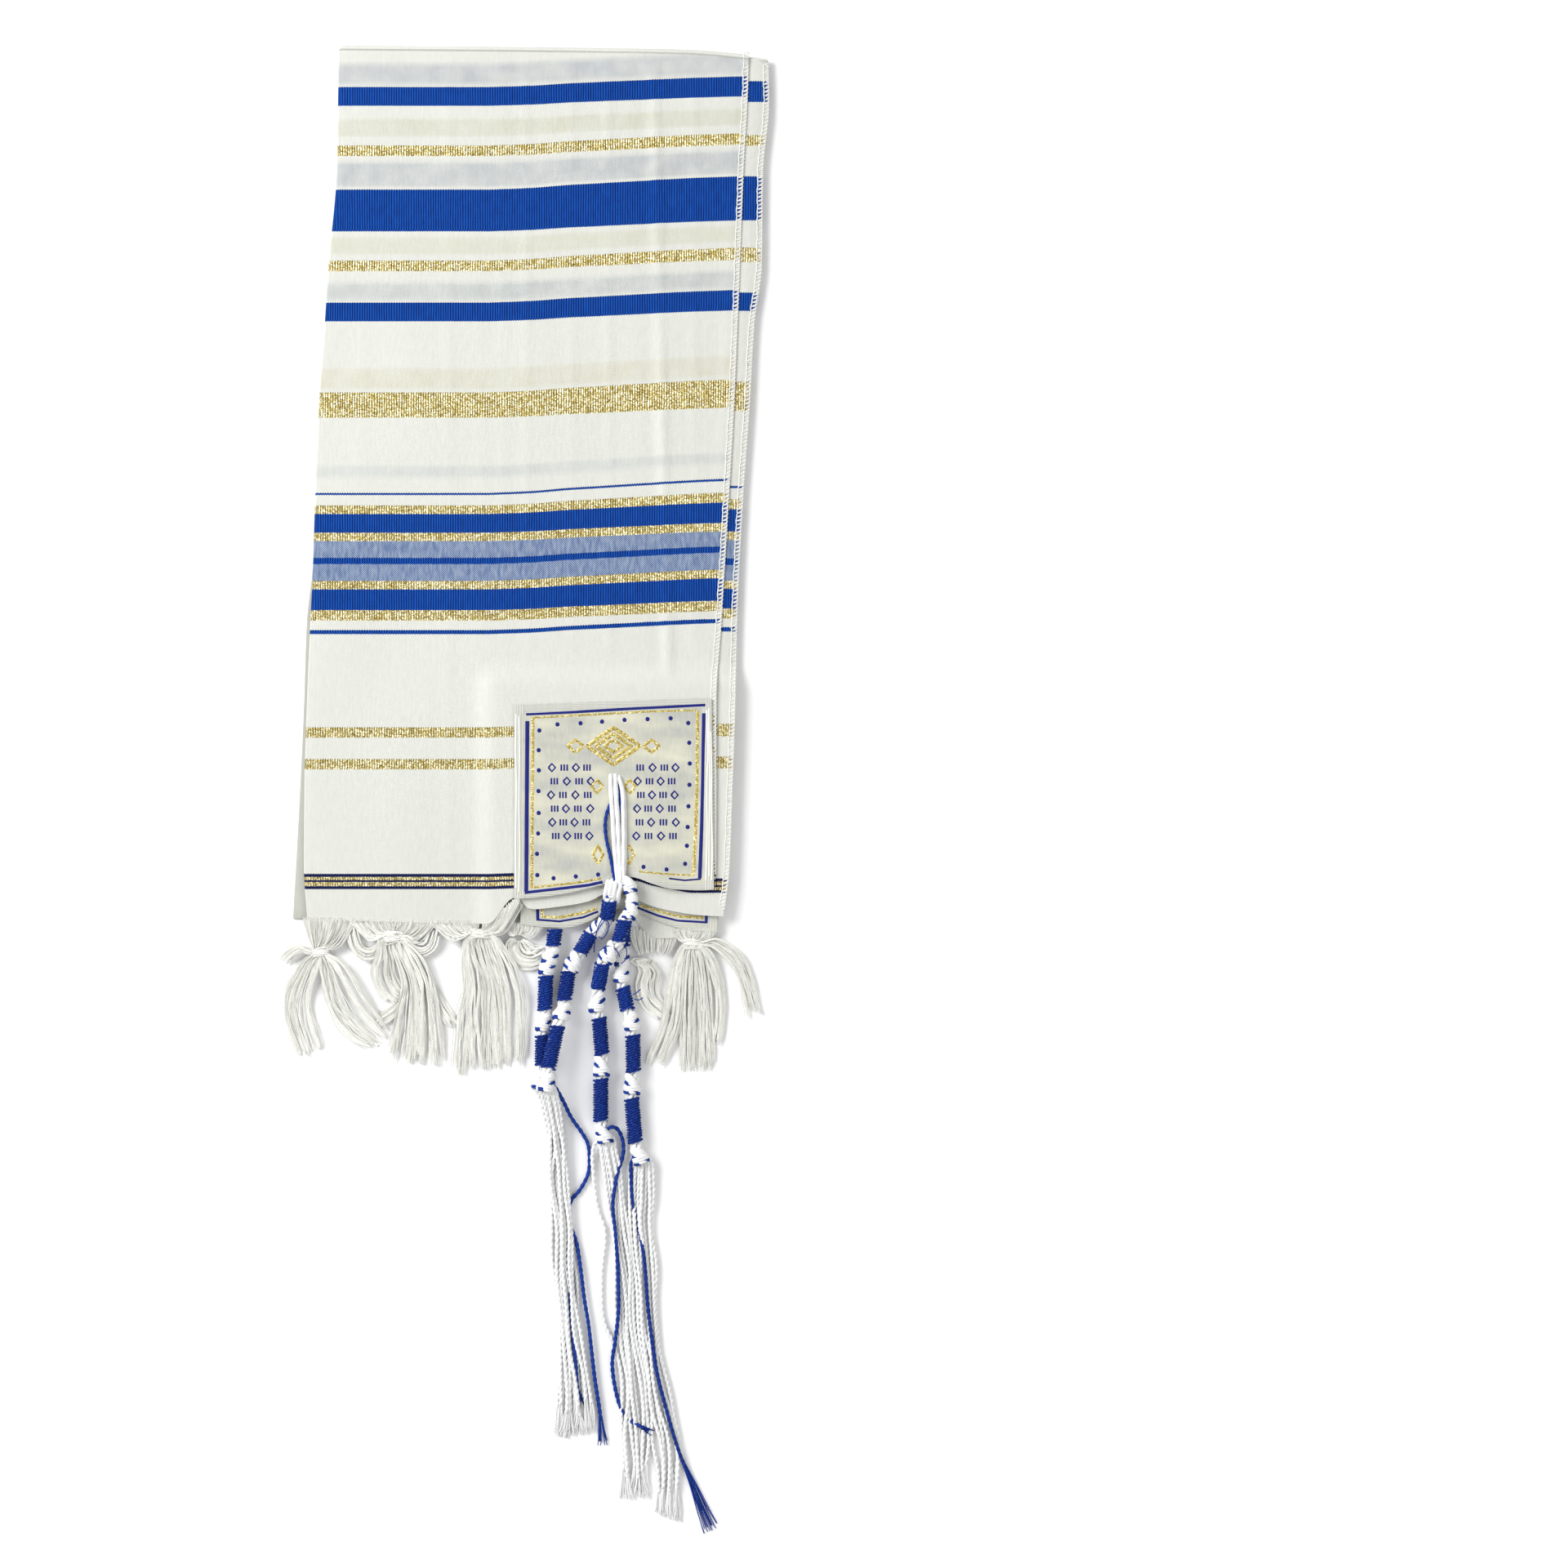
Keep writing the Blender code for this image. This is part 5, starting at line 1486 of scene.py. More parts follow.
@dataclass
class PatchWeaving:
    """The coloured yarn woven into a patch: its borders, dots and middle ornament."""

    name: str
    surface: Patch
    blue_lines: Entries
    gold_lines: Entries
    dots: Rows = ()
    folds: tuple[Rows, ...] = ()
    ornament: bool = False
    fold_radius: float = 0.42
    step: float = 1.6

    def place(self, path: Array, lift: float) -> Array:
        """Lays points given by x and y on the patch, a little above it."""
        return np.column_stack([path, self.surface.height(path[:, 0], path[:, 1]) + lift])

    def line(self, weaver: Weaver, points: Rows, width: float, closed: bool = False) -> None:
        """Adds a flat woven line through points given by x and y.

        Args:
            weaver: Collects the line.
            points: The line's corners.
            width: Its width.
            closed: Whether it runs back to its start.
        """
        ends = list(points) + ([points[0]] if closed else [])
        path = [np.array(ends[0], float)]
        for start, end in zip(ends, ends[1:]):
            start, end = np.array(start, float), np.array(end, float)
            steps = max(1, int(np.linalg.norm(end - start) / self.step))
            path.extend(start + (end - start) * (k + 1) / steps for k in range(steps))
        weaver.tube(self.place(np.array(path), SHEET_GAP), width / 2, sides=6, flat=0.24)

    def build(self, finishes: Finishes) -> list[Piece]:
        """Makes the woven work, one joined piece for each colour.

        Args:
            finishes: The shawl's finishes.

        Returns:
            The pieces.
        """
        blue, gold, plain = Weaver(), Weaver(), Weaver()
        for points in self.folds:
            path = self.place(smooth_path(np.array(points), 3.0), 0.06)
            plain.tube(path, self.fold_radius, sides=6, flat=0.7)
        for weaver, lines in ((blue, self.blue_lines), (gold, self.gold_lines)):
            for (width,), points in lines:
                self.line(weaver, points, width)
        for x, y in self.dots:
            blue.ball(self.place(np.array([[x, y]]), 0.05)[0], DOT_AXES, rings=3, sides=6)
        if self.ornament:
            self.add_ornament(blue, gold)
        made = []
        for weaver, part, material in (
            (blue, "blue", finishes.blue_thread),
            (gold, "gold", finishes.gold_thread),
            (plain, "folds", finishes.stitch),
        ):
            if weaver.count:
                made.append(weaver.build(f"{self.name}_{part}", [material]))
                dress(made[-1], "patch_cloth")
        return made

    def lozenge(
        self, weaver: Weaver, x: float, y: float, half_x: float, half_y: float, width: float
    ) -> None:
        """Adds the outline of a lozenge."""
        corners = ((x - half_x, y), (x, y + half_y), (x + half_x, y), (x, y - half_y))
        self.line(weaver, corners, width, closed=True)

    def add_ornament(self, blue: Weaver, gold: Weaver) -> None:
        """Adds a plain geometric ornament: gold lozenges over rows of small blue ones and bars.

        Args:
            blue: Collects the blue yarn.
            gold: Collects the gold yarn.
        """
        middle_x, middle_y = 46.6, 22.6
        for half_x, half_y, width in ((13.6, 9.4, 2.1), (9.2, 6.3, 1.9), (4.8, 3.2, 1.8)):
            self.lozenge(gold, middle_x, middle_y, half_x, half_y, width)
        for side in (-1.0, 1.0):
            self.lozenge(gold, middle_x + side * 19.4, middle_y, 4.2, 3.2, 1.6)
            self.lozenge(gold, middle_x + side * 8.4, 2.0, 3.0, 3.4, 1.5)
            self.lozenge(gold, middle_x + side * 8.0, -33.0, 2.6, 4.8, 1.5)
        for row in range(6):
            y = 11.6 - row * 7.0
            for side in (-1.0, 1.0):
                for k in range(4):
                    x = middle_x + side * (13.6 + k * 6.0 - (row % 2) * 1.6) + 0.4 * math.sin(row + k)
                    if (row + k) % 2:
                        self.lozenge(blue, x, y, 1.8, 2.0, 1.0)
                    else:
                        for shift in (-1.5, 0.0, 1.5):
                            self.line(blue, ((x + shift, y - 1.6), (x + shift, y + 1.6)), 0.9)


TOP_WEAVING = PatchWeaving(
    "weaving_top",
    PATCHES[0],
    blue_lines=entries("""
        1.4: 1.9 38.9; 27.6 40.1; 54.9 41.7; 93.5 43.6
        2.1: 2.5 35.4; 2.3 5.3; 2.1 -26.8; 1.9 -51.9
        1.5: 1.2 -52.4; 21.1 -50.1; 34 -48.5; 41 -46.9
        1.9: 92.8 39.4; 92.3 5.3; 91.7 -18.8; 90.7 -45
        0.9: 91.2 -45.4; 83 -46.1; 75 -45.1
    """),
    gold_lines=entries("""
        1: 5.4 37.1; 38.8 38.9; 62.9 40.2; 89.4 41
        1.5: 5.4 37.1; 5.2 5.3; 4.9 -26.8; 4.7 -49.7
        1.6: 89.6 40.6; 89.3 5.3; 88.6 -18.8; 87.5 -43.3
        1.1: 4.7 -49.7; 18.7 -48.3; 30.8 -46.9; 40.2 -45.2
        0.9: 87.5 -43.5; 79 -43.2; 71 -42.6; 59.7 -41.6
    """),
    dots=table("""
        17.9 33.7; 29.7 34.3; 40.7 35.1; 52.2 36; 64 36.4; 75.8 36.8; 84.8 34.4; 8.6 30.6; 8.3 20.5;
        8.4 10.2; 8.2 -0.4; 8.3 -11.6; 8 -22.1; 7.4 -32.5; 7.6 -43.4; 15.9 -45; 27.3 -44.1; 38.7 -43.1;
        85.3 24.3; 85.6 13.7; 85.4 2.8; 84.9 -8.2; 84.5 -18.8; 84.1 -28.4; 83.2 -37.6; 73.7 -40.5; 62 -39.2
    """),
    folds=tables("""
        94.3 41; 94.9 20; 94.4 0; 94.6 -22; 93.9 -46 /
        95.4 42; 95.6 22; 95.9 2; 95.6 -20; 95.5 -44 /
        96.4 30; 96.8 10; 96.7 -10; 97.2 -30; 96.8 -46 /
        -3.2 39; -3.4 20; -3 0; -3.4 -24; -3.2 -50 /
        -1.6 38; -1.4 16; -1.7 -6; -1.3 -30; -1.8 -52
    """),
    ornament=True,
)
LOWER_WEAVING = PatchWeaving(
    "weaving_lower",
    PATCHES[2],
    blue_lines=entries("""
        1.7: 7.3 -57; 7.5 -66.2
        1.1: 6.8 -66.4; 18.7 -67.3; 30.8 -65.2; 38.4 -62.2
        1.1: 58.5 -60.2; 69.4 -64.4; 79 -66.9; 94.6 -67.8
        1.5: 93.9 -67.6; 94.1 -60
    """),
    gold_lines=entries("""
        1.3: 9.9 -57; 9.9 -64.7
        1.3: 9.4 -64.8; 18.7 -65.2; 30.8 -62.9; 38 -60.6
        1.2: 59.7 -59; 71 -62.4; 80.6 -64.8; 92.7 -65.4
    """),
)


# Tassels


# Steps of a core's and a strand's path, and the strand's outer turn past half a circle in a knot
CORE_STEP = 1.5
STRAND_STEP = 1.1
TUCK = 0.55


class StopKind(Enum):
    """What a tassel's cord does at a stop."""

    KNOT = "knot"
    WIND = "wind"
    END = "end"


@dataclass(frozen=True)
class Stop:
    """A place on a tassel's cord; windings have a stop at each end."""

    kind: StopKind
    x: float
    y: float
    z: float
    half_width: float = 4.4

    @property
    def place(self) -> Array:
        """The stop's middle."""
        return np.array([self.x, self.y, self.z])


def stops(text: str) -> tuple[Stop, ...]:
    """Reads stops, parted by semicolons: the kind, the place and, at some knots, half the width."""
    rows = [row.split() for row in text.split(";")]
    return tuple(Stop(StopKind(kind), *map(float, numbers)) for kind, *numbers in rows)


def across_frame(along: Array) -> tuple[Array, Array]:
    """The level direction across a cord, and the one that faces up from it."""
    side = np.cross((0.0, 0.0, 1.0), along)
    side /= np.linalg.norm(side)
    return side, np.cross(along, side)


@dataclass
class Tassel:
    """A corner tassel: its loop, double knots, blue windings and hanging strands.

    The rows of tails give a height, the left and right edge of the strands there, and their middle's z.
    """

    name: str
    windings: int
    stops: tuple[Stop, ...]
    tails: Rows
    blue_tail: Rows
    blue_brush: float
    white_loops: tuple[Rows, ...] = ()
    blue_loops: tuple[Rows, ...] = ()
    loose_threads: tuple[Rows, ...] = ()
    bowed_strand: Rows = ()
    seed: int = 1
    strands: int = 7
    strand_radius: float = 1.16
    ring_radius: float = 4.15
    turn_pitch: float = 1.3
    blue_radius: float = 0.66
    loop_radius: float = 1.3
    lashing_radius: float = 1.05
    thread_radius: float = 0.26
    fibres: int = 14

    def build(self, finishes: Finishes) -> list[Piece]:
        """Makes the tassel's white cord, its blue strand and its windings.

        Args:
            finishes: The shawl's finishes.

        Returns:
            The pieces.
        """
        rng = np.random.default_rng(self.seed)
        white, blue, wound_on = Weaver(), Weaver(), Weaver()
        places = np.array([stop.place for stop in self.stops])
        for k, stop in enumerate(self.stops):
            before, after = places[max(k - 1, 0)], places[min(k + 1, len(places) - 1)]
            along = (after - before) / np.linalg.norm(after - before)
            if stop.kind is StopKind.KNOT:
                self.add_knot(white, blue, stop, along, rng)
            elif stop.kind is StopKind.END:
                self.add_winding(wound_on, places[k - 1], stop.place)
        self.add_core(white, places)
        for route in self.white_loops:
            path = smooth_path(np.array(route), 1.2)
            white.tube(path, self.loop_radius, sides=10, plies=2, twist=0.05, relief=0.06)
        for route in self.blue_loops:
            path = smooth_path(np.array(route), STRAND_STEP)
            blue.tube(path, self.lashing_radius, sides=8, plies=2, twist=0.15, relief=0.12)
        for route in self.loose_threads:
            blue.tube(smooth_path(np.array(route), 1.0), self.thread_radius, sides=4)
        self.add_tails(white, blue, rng)
        windings = [f"winding_{self.name[-1]}_{n + 1}" for n in range(self.windings)]
        pieces = []
        for weaver, part, material, slot, nodes in (
            (white, "cord", finishes.white_cord, "white_cord", [self.name]),
            (blue, "blue_strand", finishes.blue_cord, "blue_cord", []),
            (wound_on, "windings", finishes.blue_cord, "blue_cord", windings),
        ):
            pieces.append(weaver.build(f"{self.name}_{part}", [material]))
            dress(pieces[-1], slot, *nodes)
        return pieces

    def add_core(self, white: Weaver, places: Array) -> None:
        """Adds the strands that run through the knots and windings.

        Args:
            white: Collects the white cord.
            places: The stops' middles.
        """
        path = smooth_path(places, CORE_STEP)
        side = path_sides(path)
        run = np.arange(len(path)) * CORE_STEP
        for n in range(5):
            angle = n * math.tau / 5 + run * 0.16
            offset = side * (2.1 * np.cos(angle))[:, None]
            offset[:, 2] += 1.7 * np.sin(angle)
            white.tube(path + offset, 1.15, sides=6)

    def add_knot(
        self, white: Weaver, blue: Weaver, stop: Stop, along: Array, rng: Random
    ) -> None:
        """Adds a double knot: two fat lobes of white strands laid over the cord, the blue one between.

        Args:
            white: Collects the white cord.
            blue: Collects the blue strand.
            stop: The knot's stop.
            along: The cord's direction there.
            rng: Gives the knot its own shape.
        """
        side, up = across_frame(along)
        ring = stop.half_width - 1.05
        white.ball(stop.place, np.array([along * ring * 0.9, side * ring * 0.85, up * ring * 0.8]))
        hand = 1 if rng.random() < 0.5 else -1
        strong, weak = rng.uniform(0.55, 0.95), rng.uniform(-0.35, 0.15)
        angle = np.linspace(-TUCK, math.pi + TUCK, 19)
        ends = np.exp(-(((angle + TUCK) / 0.3) ** 2)) + np.exp(-(((angle - math.pi - TUCK) / 0.3) ** 2))
        open_out = 0.35 + 0.65 * np.sin(np.clip(angle, 0.0, math.pi))
        round_it = side * np.cos(angle)[:, None] + up * np.sin(angle)[:, None]
        for middle, tilt, lift in ((-0.48, strong * hand, 0.0), (0.46, weak * hand, 0.4)):
            for n in range(4):
                spread = (n - 1.5) / 1.5
                shift = ring * middle + spread * 2.0 * open_out + tilt * ring * np.cos(angle)
                size = (ring * (0.9 + 0.16 * (1 - spread**2)) + lift) * (1 - 0.3 * ends)
                path = stop.place + along * shift[:, None] + round_it * size[:, None]
                white.tube(path, 1.02, sides=7, upright=along)
        turns = ((-0.48 * ring + 2.9, strong, 1, 16), (0.46 * ring + 2.2, weak, 10, 17))
        for shift_by, tilt, first, last in turns:
            part = slice(first, last)
            shift = shift_by + tilt * hand * ring * np.cos(angle[part])
            dip = np.ones(last - first)
            dip[[0, -1]] = 0.8
            size = (ring + 0.3) * dip
            path = stop.place + along * shift[:, None] + round_it[part] * size[:, None]
            blue.tube(path, self.lashing_radius, sides=7, upright=along)

    def add_winding(self, weaver: Weaver, start: Array, end: Array) -> None:
        """Adds a blue strand wound closely round the cord from start to end.

        Args:
            weaver: Collects the winding.
            start: The winding's start.
            end: Its end.
        """
        length = float(np.linalg.norm(end - start))
        along = (end - start) / length
        side, up = across_frame(along)
        turns = (length + 0.6) / self.turn_pitch
        angle = np.linspace(0.0, math.tau * turns, int(turns * 18))
        uneven = 0.1 * np.sin(angle * 0.37) + 0.08 * np.sin(angle * 0.143 + 1.0)
        ring = self.ring_radius - self.blue_radius + uneven
        lean = -1.25 * np.cos(angle) * np.minimum(1.0, np.minimum(angle, angle[-1] - angle) / 9.0)
        shift = angle / math.tau * self.turn_pitch + lean - 0.3
        round_it = (side * np.cos(angle)[:, None] + up * np.sin(angle)[:, None]) * ring[:, None]
        path = start + along * shift[:, None] + round_it
        weaver.tube(path, self.blue_radius, sides=6, upright=along, plies=2, twist=0.17)
        inner = np.stack([start + along * 0.3, end - along * 0.3])
        weaver.tube(inner, self.ring_radius - self.blue_radius - 0.35, sides=12)

    def add_strand(
        self,
        weaver: Weaver,
        path: Array,
        radius: float,
        brush: float,
        spread: float,
        rng: Random,
    ) -> None:
        """Adds a twisted strand whose end is frayed into a brush of fibres.

        Args:
            weaver: Collects the strand.
            path: The strand's points, STRAND_STEP apart, to the tip of the brush.
            radius: The strand's radius.
            brush: The brush's length.
            spread: How far the brush opens to each side at its tip.
            rng: Gives each fibre its own way.
        """
        keep = len(path) - int(brush / STRAND_STEP)
        weaver.tube(path[:keep], radius, sides=8, plies=2, twist=0.15, relief=0.1)
        tip = path[keep - 2 :: 2]
        side = path_sides(tip)
        run = np.linspace(0.0, 1.0, len(tip))
        for _ in range(self.fibres):
            share = rng.uniform(-1.0, 1.0)
            wave = 0.3 * np.sin(run * rng.uniform(3.0, 8.0) + rng.uniform(0, 6)) * run
            fibre = tip + side * (share * (radius * 0.65 + spread * run**1.2) + wave)[:, None]
            fibre[:, 2] = np.maximum(tip[:, 2] * (1 - 0.5 * run) + rng.uniform(-0.5, 0.5), 0.32)
            fibre = fibre[: max(3, len(fibre) - int(rng.integers(0, 2)))]
            weaver.tube(fibre, np.linspace(0.34, 0.2, len(fibre)), sides=4)

    def add_tails(self, white: Weaver, blue: Weaver, rng: Random) -> None:
        """Adds the strands below the last knot.

        Args:
            white: Collects the white cord.
            blue: Collects the blue strand.
            rng: Gives each strand its own way.
        """
        last, before = self.stops[-1], self.stops[-2]
        along = (last.place - before.place) / np.linalg.norm(last.place - before.place)
        side, up = across_frame(along)
        blue_path = smooth_path(np.array([last.place, *self.blue_tail]), STRAND_STEP)
        self.add_strand(blue, blue_path, 1.12, self.blue_brush, 0.7 + self.blue_brush / 12.0, rng)
        rows = np.array(self.tails)
        for order in range(self.strands):
            share = (order + 0.5) / self.strands
            root = last.place + side * (2 * share - 1) * last.half_width * 0.5 + up * 0.8
            out = last.place + side * (2 * share - 1) * (last.half_width + 1.0)
            out = out + along * last.half_width * 0.7
            level = (0.0, 1.0, 0.4, 1.5)[order % 4]
            route = []
            phase = rng.uniform(0.0, 6.0, 2)
            pace = rng.uniform(9.0, 16.0), rng.uniform(4.5, 7.0)
            for k, (y, left, right, z) in enumerate(rows):
                sway = 1.1 * math.sin(y / pace[0] + phase[0]) + 0.5 * math.sin(y / pace[1] + phase[1])
                x = left + 1.0 + (right - left - 2.0) * share + sway * min(1.0, k / 2)
                route.append([min(max(x, left + 1.0), right - 1.0), y, z + level])
            if order == 0 and self.bowed_strand:
                route = [list(place) for place in self.bowed_strand]
            else:
                route[-1][1] += rng.uniform(0.0, 5.0)
            path = smooth_path(np.array([root, out, *route]), STRAND_STEP)
            run = np.arange(len(path)) * STRAND_STEP
            sway = 0.35 * np.sin(run / rng.uniform(5.0, 9.0) + rng.uniform(0, 6))
            path = path + path_sides(path) * (sway * np.minimum(1.0, run / 20.0))[:, None]
            path[:, 2] = np.maximum(path[:, 2], self.strand_radius + 0.08)
            self.add_strand(white, path, self.strand_radius, rng.uniform(11.0, 19.0), 1.5, rng)


TASSELS = (
    Tassel(
        "tassel_1",
        4,
        stops("""
            knot 46.2 -51.2 12.6 3.6; wind 44.7 -56.4 12.6; end 43.3 -65.7 9.6; knot 40 -70 7.6;
            wind 34.8 -73.4 6.2; end 29.4 -83 4.9; knot 26.2 -88.4 4.8; wind 23.2 -93.2 4.7;
            end 21.2 -107.6 5.4; knot 20 -114.2 7.2 4.3; wind 17.9 -121 10.2; end 13.4 -142 12.9;
            knot 12.7 -149.5 13.4 4.2
        """),
        table("""
            -160.7 8.4 20 9.4; -173.2 10.5 22.6 6.2; -181.7 11.1 23.6 4.8; -198.4 11.6 24.2 3.8;
            -223.7 12.5 25.6 3.5; -248.8 14.4 27.9 3.4; -274.1 16.2 30.5 3.4; -299.2 17.6 33.8 3.3;
            -316.1 17.6 36 3.3; -333 16 38.4 3
        """),
        table("""
            16.2 -151 12.4; 20.4 -158.5 8.6; 24.6 -167.8 4.8; 29.6 -175.3 2.6; 33 -181.7 1.6; 33.8 -190 1.3;
            33 -197.6 1.3; 28.8 -205.6 1.3; 24.1 -211.5 1.3; 23 -221.5 1.4; 26.8 -231 2; 29.2 -244.6 2.6;
            31.3 -261.4 2.8; 33.4 -274.1 2.8; 35.1 -288.8 2.8; 36.8 -303.4 2.6; 39.3 -320.2 2.2;
            40.9 -337.8 1.6
        """),
        blue_brush=16.0,
        white_loops=tables("""
            45.3 7.6 8.8; 45.1 6.1 10.9; 45.6 -5.2 11.3; 46.2 -13.7 11.3; 47.2 -30.4 11.7; 48.1 -38.9 12.6;
            48.8 -45.4 14.2; 48.4 -50 13 /
            47.5 7.8 8.8; 47.6 6.2 11; 48.1 -5.2 11.5; 48.7 -13.7 11.5; 49.5 -30.4 11.9; 49.9 -38.9 12.8;
            50.2 -45.6 14.5; 49.4 -50 13.2 /
            48.8 7.4 8.8; 49.7 5.4 10.9; 51.3 -0.4 11.3; 51.7 -13.7 11.3; 51.8 -30.4 11.7; 51.6 -38.9 12.6;
            51.4 -45.4 14; 50.4 -50 13 /
            49.5 6.6 8.6; 50.4 3 10.2; 51.9 -4 10.4; 52.3 -14 10.4; 52.4 -30.4 10.9; 52.2 -38.9 11.8;
            51.4 -46 13 /
            44.2 -46.4 11; 43.5 -48 14.2; 43.1 -51 15.8; 42.6 -54 14.2; 42.6 -56.2 11.6 /
            46.2 -46 11.4; 45.6 -47.8 14.8; 45.2 -51 16.3; 44.8 -54.4 14.6; 44.6 -56.6 11.8 /
            48.2 -46.4 12.4; 47.8 -48.2 15.4; 47.4 -51.2 16.6; 47 -54.6 14.9; 46.7 -56.6 12 /
            50.4 -47.4 12.8; 50.2 -49.4 15.2; 49.6 -52 16.2; 49 -55 14.6; 48.6 -56.8 12
        """),
        # The second, short blue piece lies low in the gap between the loop's strands: it is partly the blue
        # strand itself and partly painted shade, a dark piece where that gap lies in shade.
        blue_loops=tables("""
            46.4 -2 10.4; 45 -7.3 10.9; 43.4 -11 11; 42.5 -15.4 11; 42.4 -20.4 11; 43.3 -26.6 11.1;
            44.8 -33 11.3; 46 -38.9 12; 46.9 -43.6 12.8; 48.4 -49 13.4 /
            48.6 5.6 9.9; 49.3 0 10.3; 50 -6 10.5; 50.3 -12 10.4
        """),
        loose_threads=tables("""
            41.6 -64.6 13.9; 39.4 -68.6 12.9; 37.9 -73.2 12; 36.8 -77.6 9.4; 36.5 -83 6.4 /
            42.2 -66.4 13.4; 38.2 -71.8 12.9; 34.6 -73.9 11.6; 32.4 -72.4 10.6 /
            43 -66 13.2; 44.4 -69 12.2; 43 -73.6 11.4; 40.4 -76.4 10.6
        """),
        seed=11,
    ),
    Tassel(
        "tassel_2",
        4,
        stops("""
            knot 54.6 -48.2 12.4 3.7; knot 56 -55.2 12.8 3.1; knot 55.6 -61.6 13.2 3.6;
            wind 52.2 -66.6 13.5; end 49.7 -77 13.3; knot 44.9 -83.2 11.8; wind 40.9 -88.4 9.2;
            end 38.5 -101.4 5; knot 37.8 -109 4.8; wind 38.9 -117 4.7; end 40.5 -135.6 4.7;
            knot 40.4 -141.8 4.8 4.3; wind 39.8 -148.2 4.7; end 39.8 -169.6 4.7; knot 41.4 -176.4 4.8 4.2
        """),
        table("""
            -184 36.6 49 3.6; -198.4 38.2 52 2.2; -223.7 42.2 54.8 1.6; -248.8 43.8 57 1.4;
            -265.6 44.9 58.6 1.3; -282.4 46.4 60.4 1.3; -307.6 48.9 63.8 1.4; -332.8 48.6 66 1.4;
            -349.6 49.8 66.2 1.3; -366 51 65 1.2
        """),
        table("""
            44.7 -172.6 7.4; 48.5 -173.9 5.4; 51 -179.5 3.6; 51.4 -185.8 3.2; 50.2 -191 2.8;
            48.9 -194.6 3.6; 46.8 -204.8 4.3; 46 -214.4 4.3; 47.2 -225.8 4.3; 48.5 -244.6 4.2;
            48.9 -265.6 4.2; 47.2 -282.4 3.6; 45.6 -292.9 2.2; 46.4 -303.4 1.8; 49.4 -316.1 1.6;
            54 -323.2 1.5; 60.3 -326.6 3.8; 67.2 -331 4
        """),
        blue_brush=7.0,
        bowed_strand=table("""
            36 -183 3.4; 35.2 -192.2 2.2; 38.4 -215.2 1.3; 41.4 -227.8 1.3; 40.5 -248.8 1.3;
            39.9 -265.6 1.3; 42 -275.5 1.3; 46.4 -284 1.4; 49.8 -300 1.4; 50.6 -330 1.4; 51.4 -364 1.2
        """),
        loose_threads=tables("""
            52 -78.6 15.4; 53.6 -82 14.4; 52.8 -86.4 12.8; 50.6 -88.6 12 /
            39.6 -82 14.6; 43.6 -79.4 16.2; 47.8 -80.8 16.2; 50 -85 14.4
        """),
        seed=29,
    ),
    Tassel(
        "tassel_3",
        4,
        stops("""
            wind 51.4 -69.4 4.5; end 51 -79.6 4.5; knot 50.6 -86 4.6 3.9; knot 50.2 -94.2 4.7 4.1;
            wind 51 -101.4 4.7; end 53.5 -112.4 4.7; knot 55.4 -118.9 4.8 4.2; wind 56.2 -125.8 4.7;
            end 56.6 -144.4 4.7; knot 56 -151.2 4.8 4.3; wind 55.6 -158.2 4.7; end 57.6 -180.6 4.7;
            knot 59.8 -187.4 4.8 4.2
        """),
        table("""
            -195 53.6 68.6 3; -210 53.2 68.8 1.9; -223.7 53.2 67.8 1.6; -248.8 55 69.2 1.4;
            -274.1 57.6 71.2 1.3; -299.2 60.9 74.1 1.3; -316.1 62.8 77.5 1.3; -332.8 65.2 80.8 1.3;
            -349.6 67.2 82.3 1.2; -376 67 80.6 1.2
        """),
        table("""
            55.6 -190.4 5.4; 55.4 -198.4 4.4; 56.1 -211 3.4; 58.6 -223.7 1.4; 61.5 -236.2 3.8;
            62.8 -248.8 4.3; 64 -265.6 4.3; 66.1 -282.4 4.3; 68.7 -299.2 4.3; 72.9 -316.1 4.2;
            77.1 -330.8 3.8; 80.4 -341.2 2.8; 83.4 -348.4 1.8; 87.6 -358.1 1.4; 92.6 -370.6 1.2;
            96.8 -380.4 1
        """),
        blue_brush=37.0,
        loose_threads=tables("""
            56.4 -104.6 7.6; 58.4 -103.6 8.6; 60.4 -101.8 8.4 /
            57 -107 7.4; 59.6 -107.4 8.2; 61.6 -106.2 7.6
        """),
        seed=37,
    ),
    Tassel(
        "tassel_4",
        3,
        stops("""
            wind 16.2 -71.6 4.5; end 15.5 -79.4 4.5; knot 14 -85 4.6 4; knot 12.4 -90.4 4.6 4;
            wind 11.6 -95.4 4.6; end 11.1 -112.6 4.6; knot 10.4 -119.2 4.6 4; wind 9.9 -125.8 4.5;
            end 9.8 -140.8 4.5; knot 8.6 -148.6 4.4 3.9
        """),
        table("""
            -158 7.4 15.4 3.4; -168 9.4 19.4 2; -181.7 11 23 1.2; -198.4 11.5 24 1.2; -223.7 12.3 25.4 1.2;
            -248.8 14.2 27.9 1.2; -274.1 16.2 30.5 1.2; -299.2 17 33.8 1.2; -318 15.4 36 1.2;
            -335 12.8 34 1.2
        """),
        table("""
            14 -160 2.6; 18 -200 1.4; 20.4 -223.7 1.8; 23.3 -248.8 3.4; 24.1 -257.2 3.6; 24.6 -269.8 3.6;
            26.2 -286.6 4; 27.1 -295.1 4.2; 27.9 -307.6 4.2; 30.6 -316 3.8
        """),
        blue_brush=8.0,
        seed=41,
    ),
)


# Fringe


@dataclass(frozen=True)
class Lock:
    """Yarns that leave a fringe knot together, between two angles counted anticlockwise in degrees.

    Rows of three numbers are the two ends of a stretch of hem, as places. Rows of four are a hanging
    lock's route: a place and the lock's width there.
    """

    first_angle: float
    last_angle: float
    rows: Rows

    @property
    def from_hem(self) -> bool:
        """Whether the yarns come from the hem."""
        return len(self.rows[0]) == 3


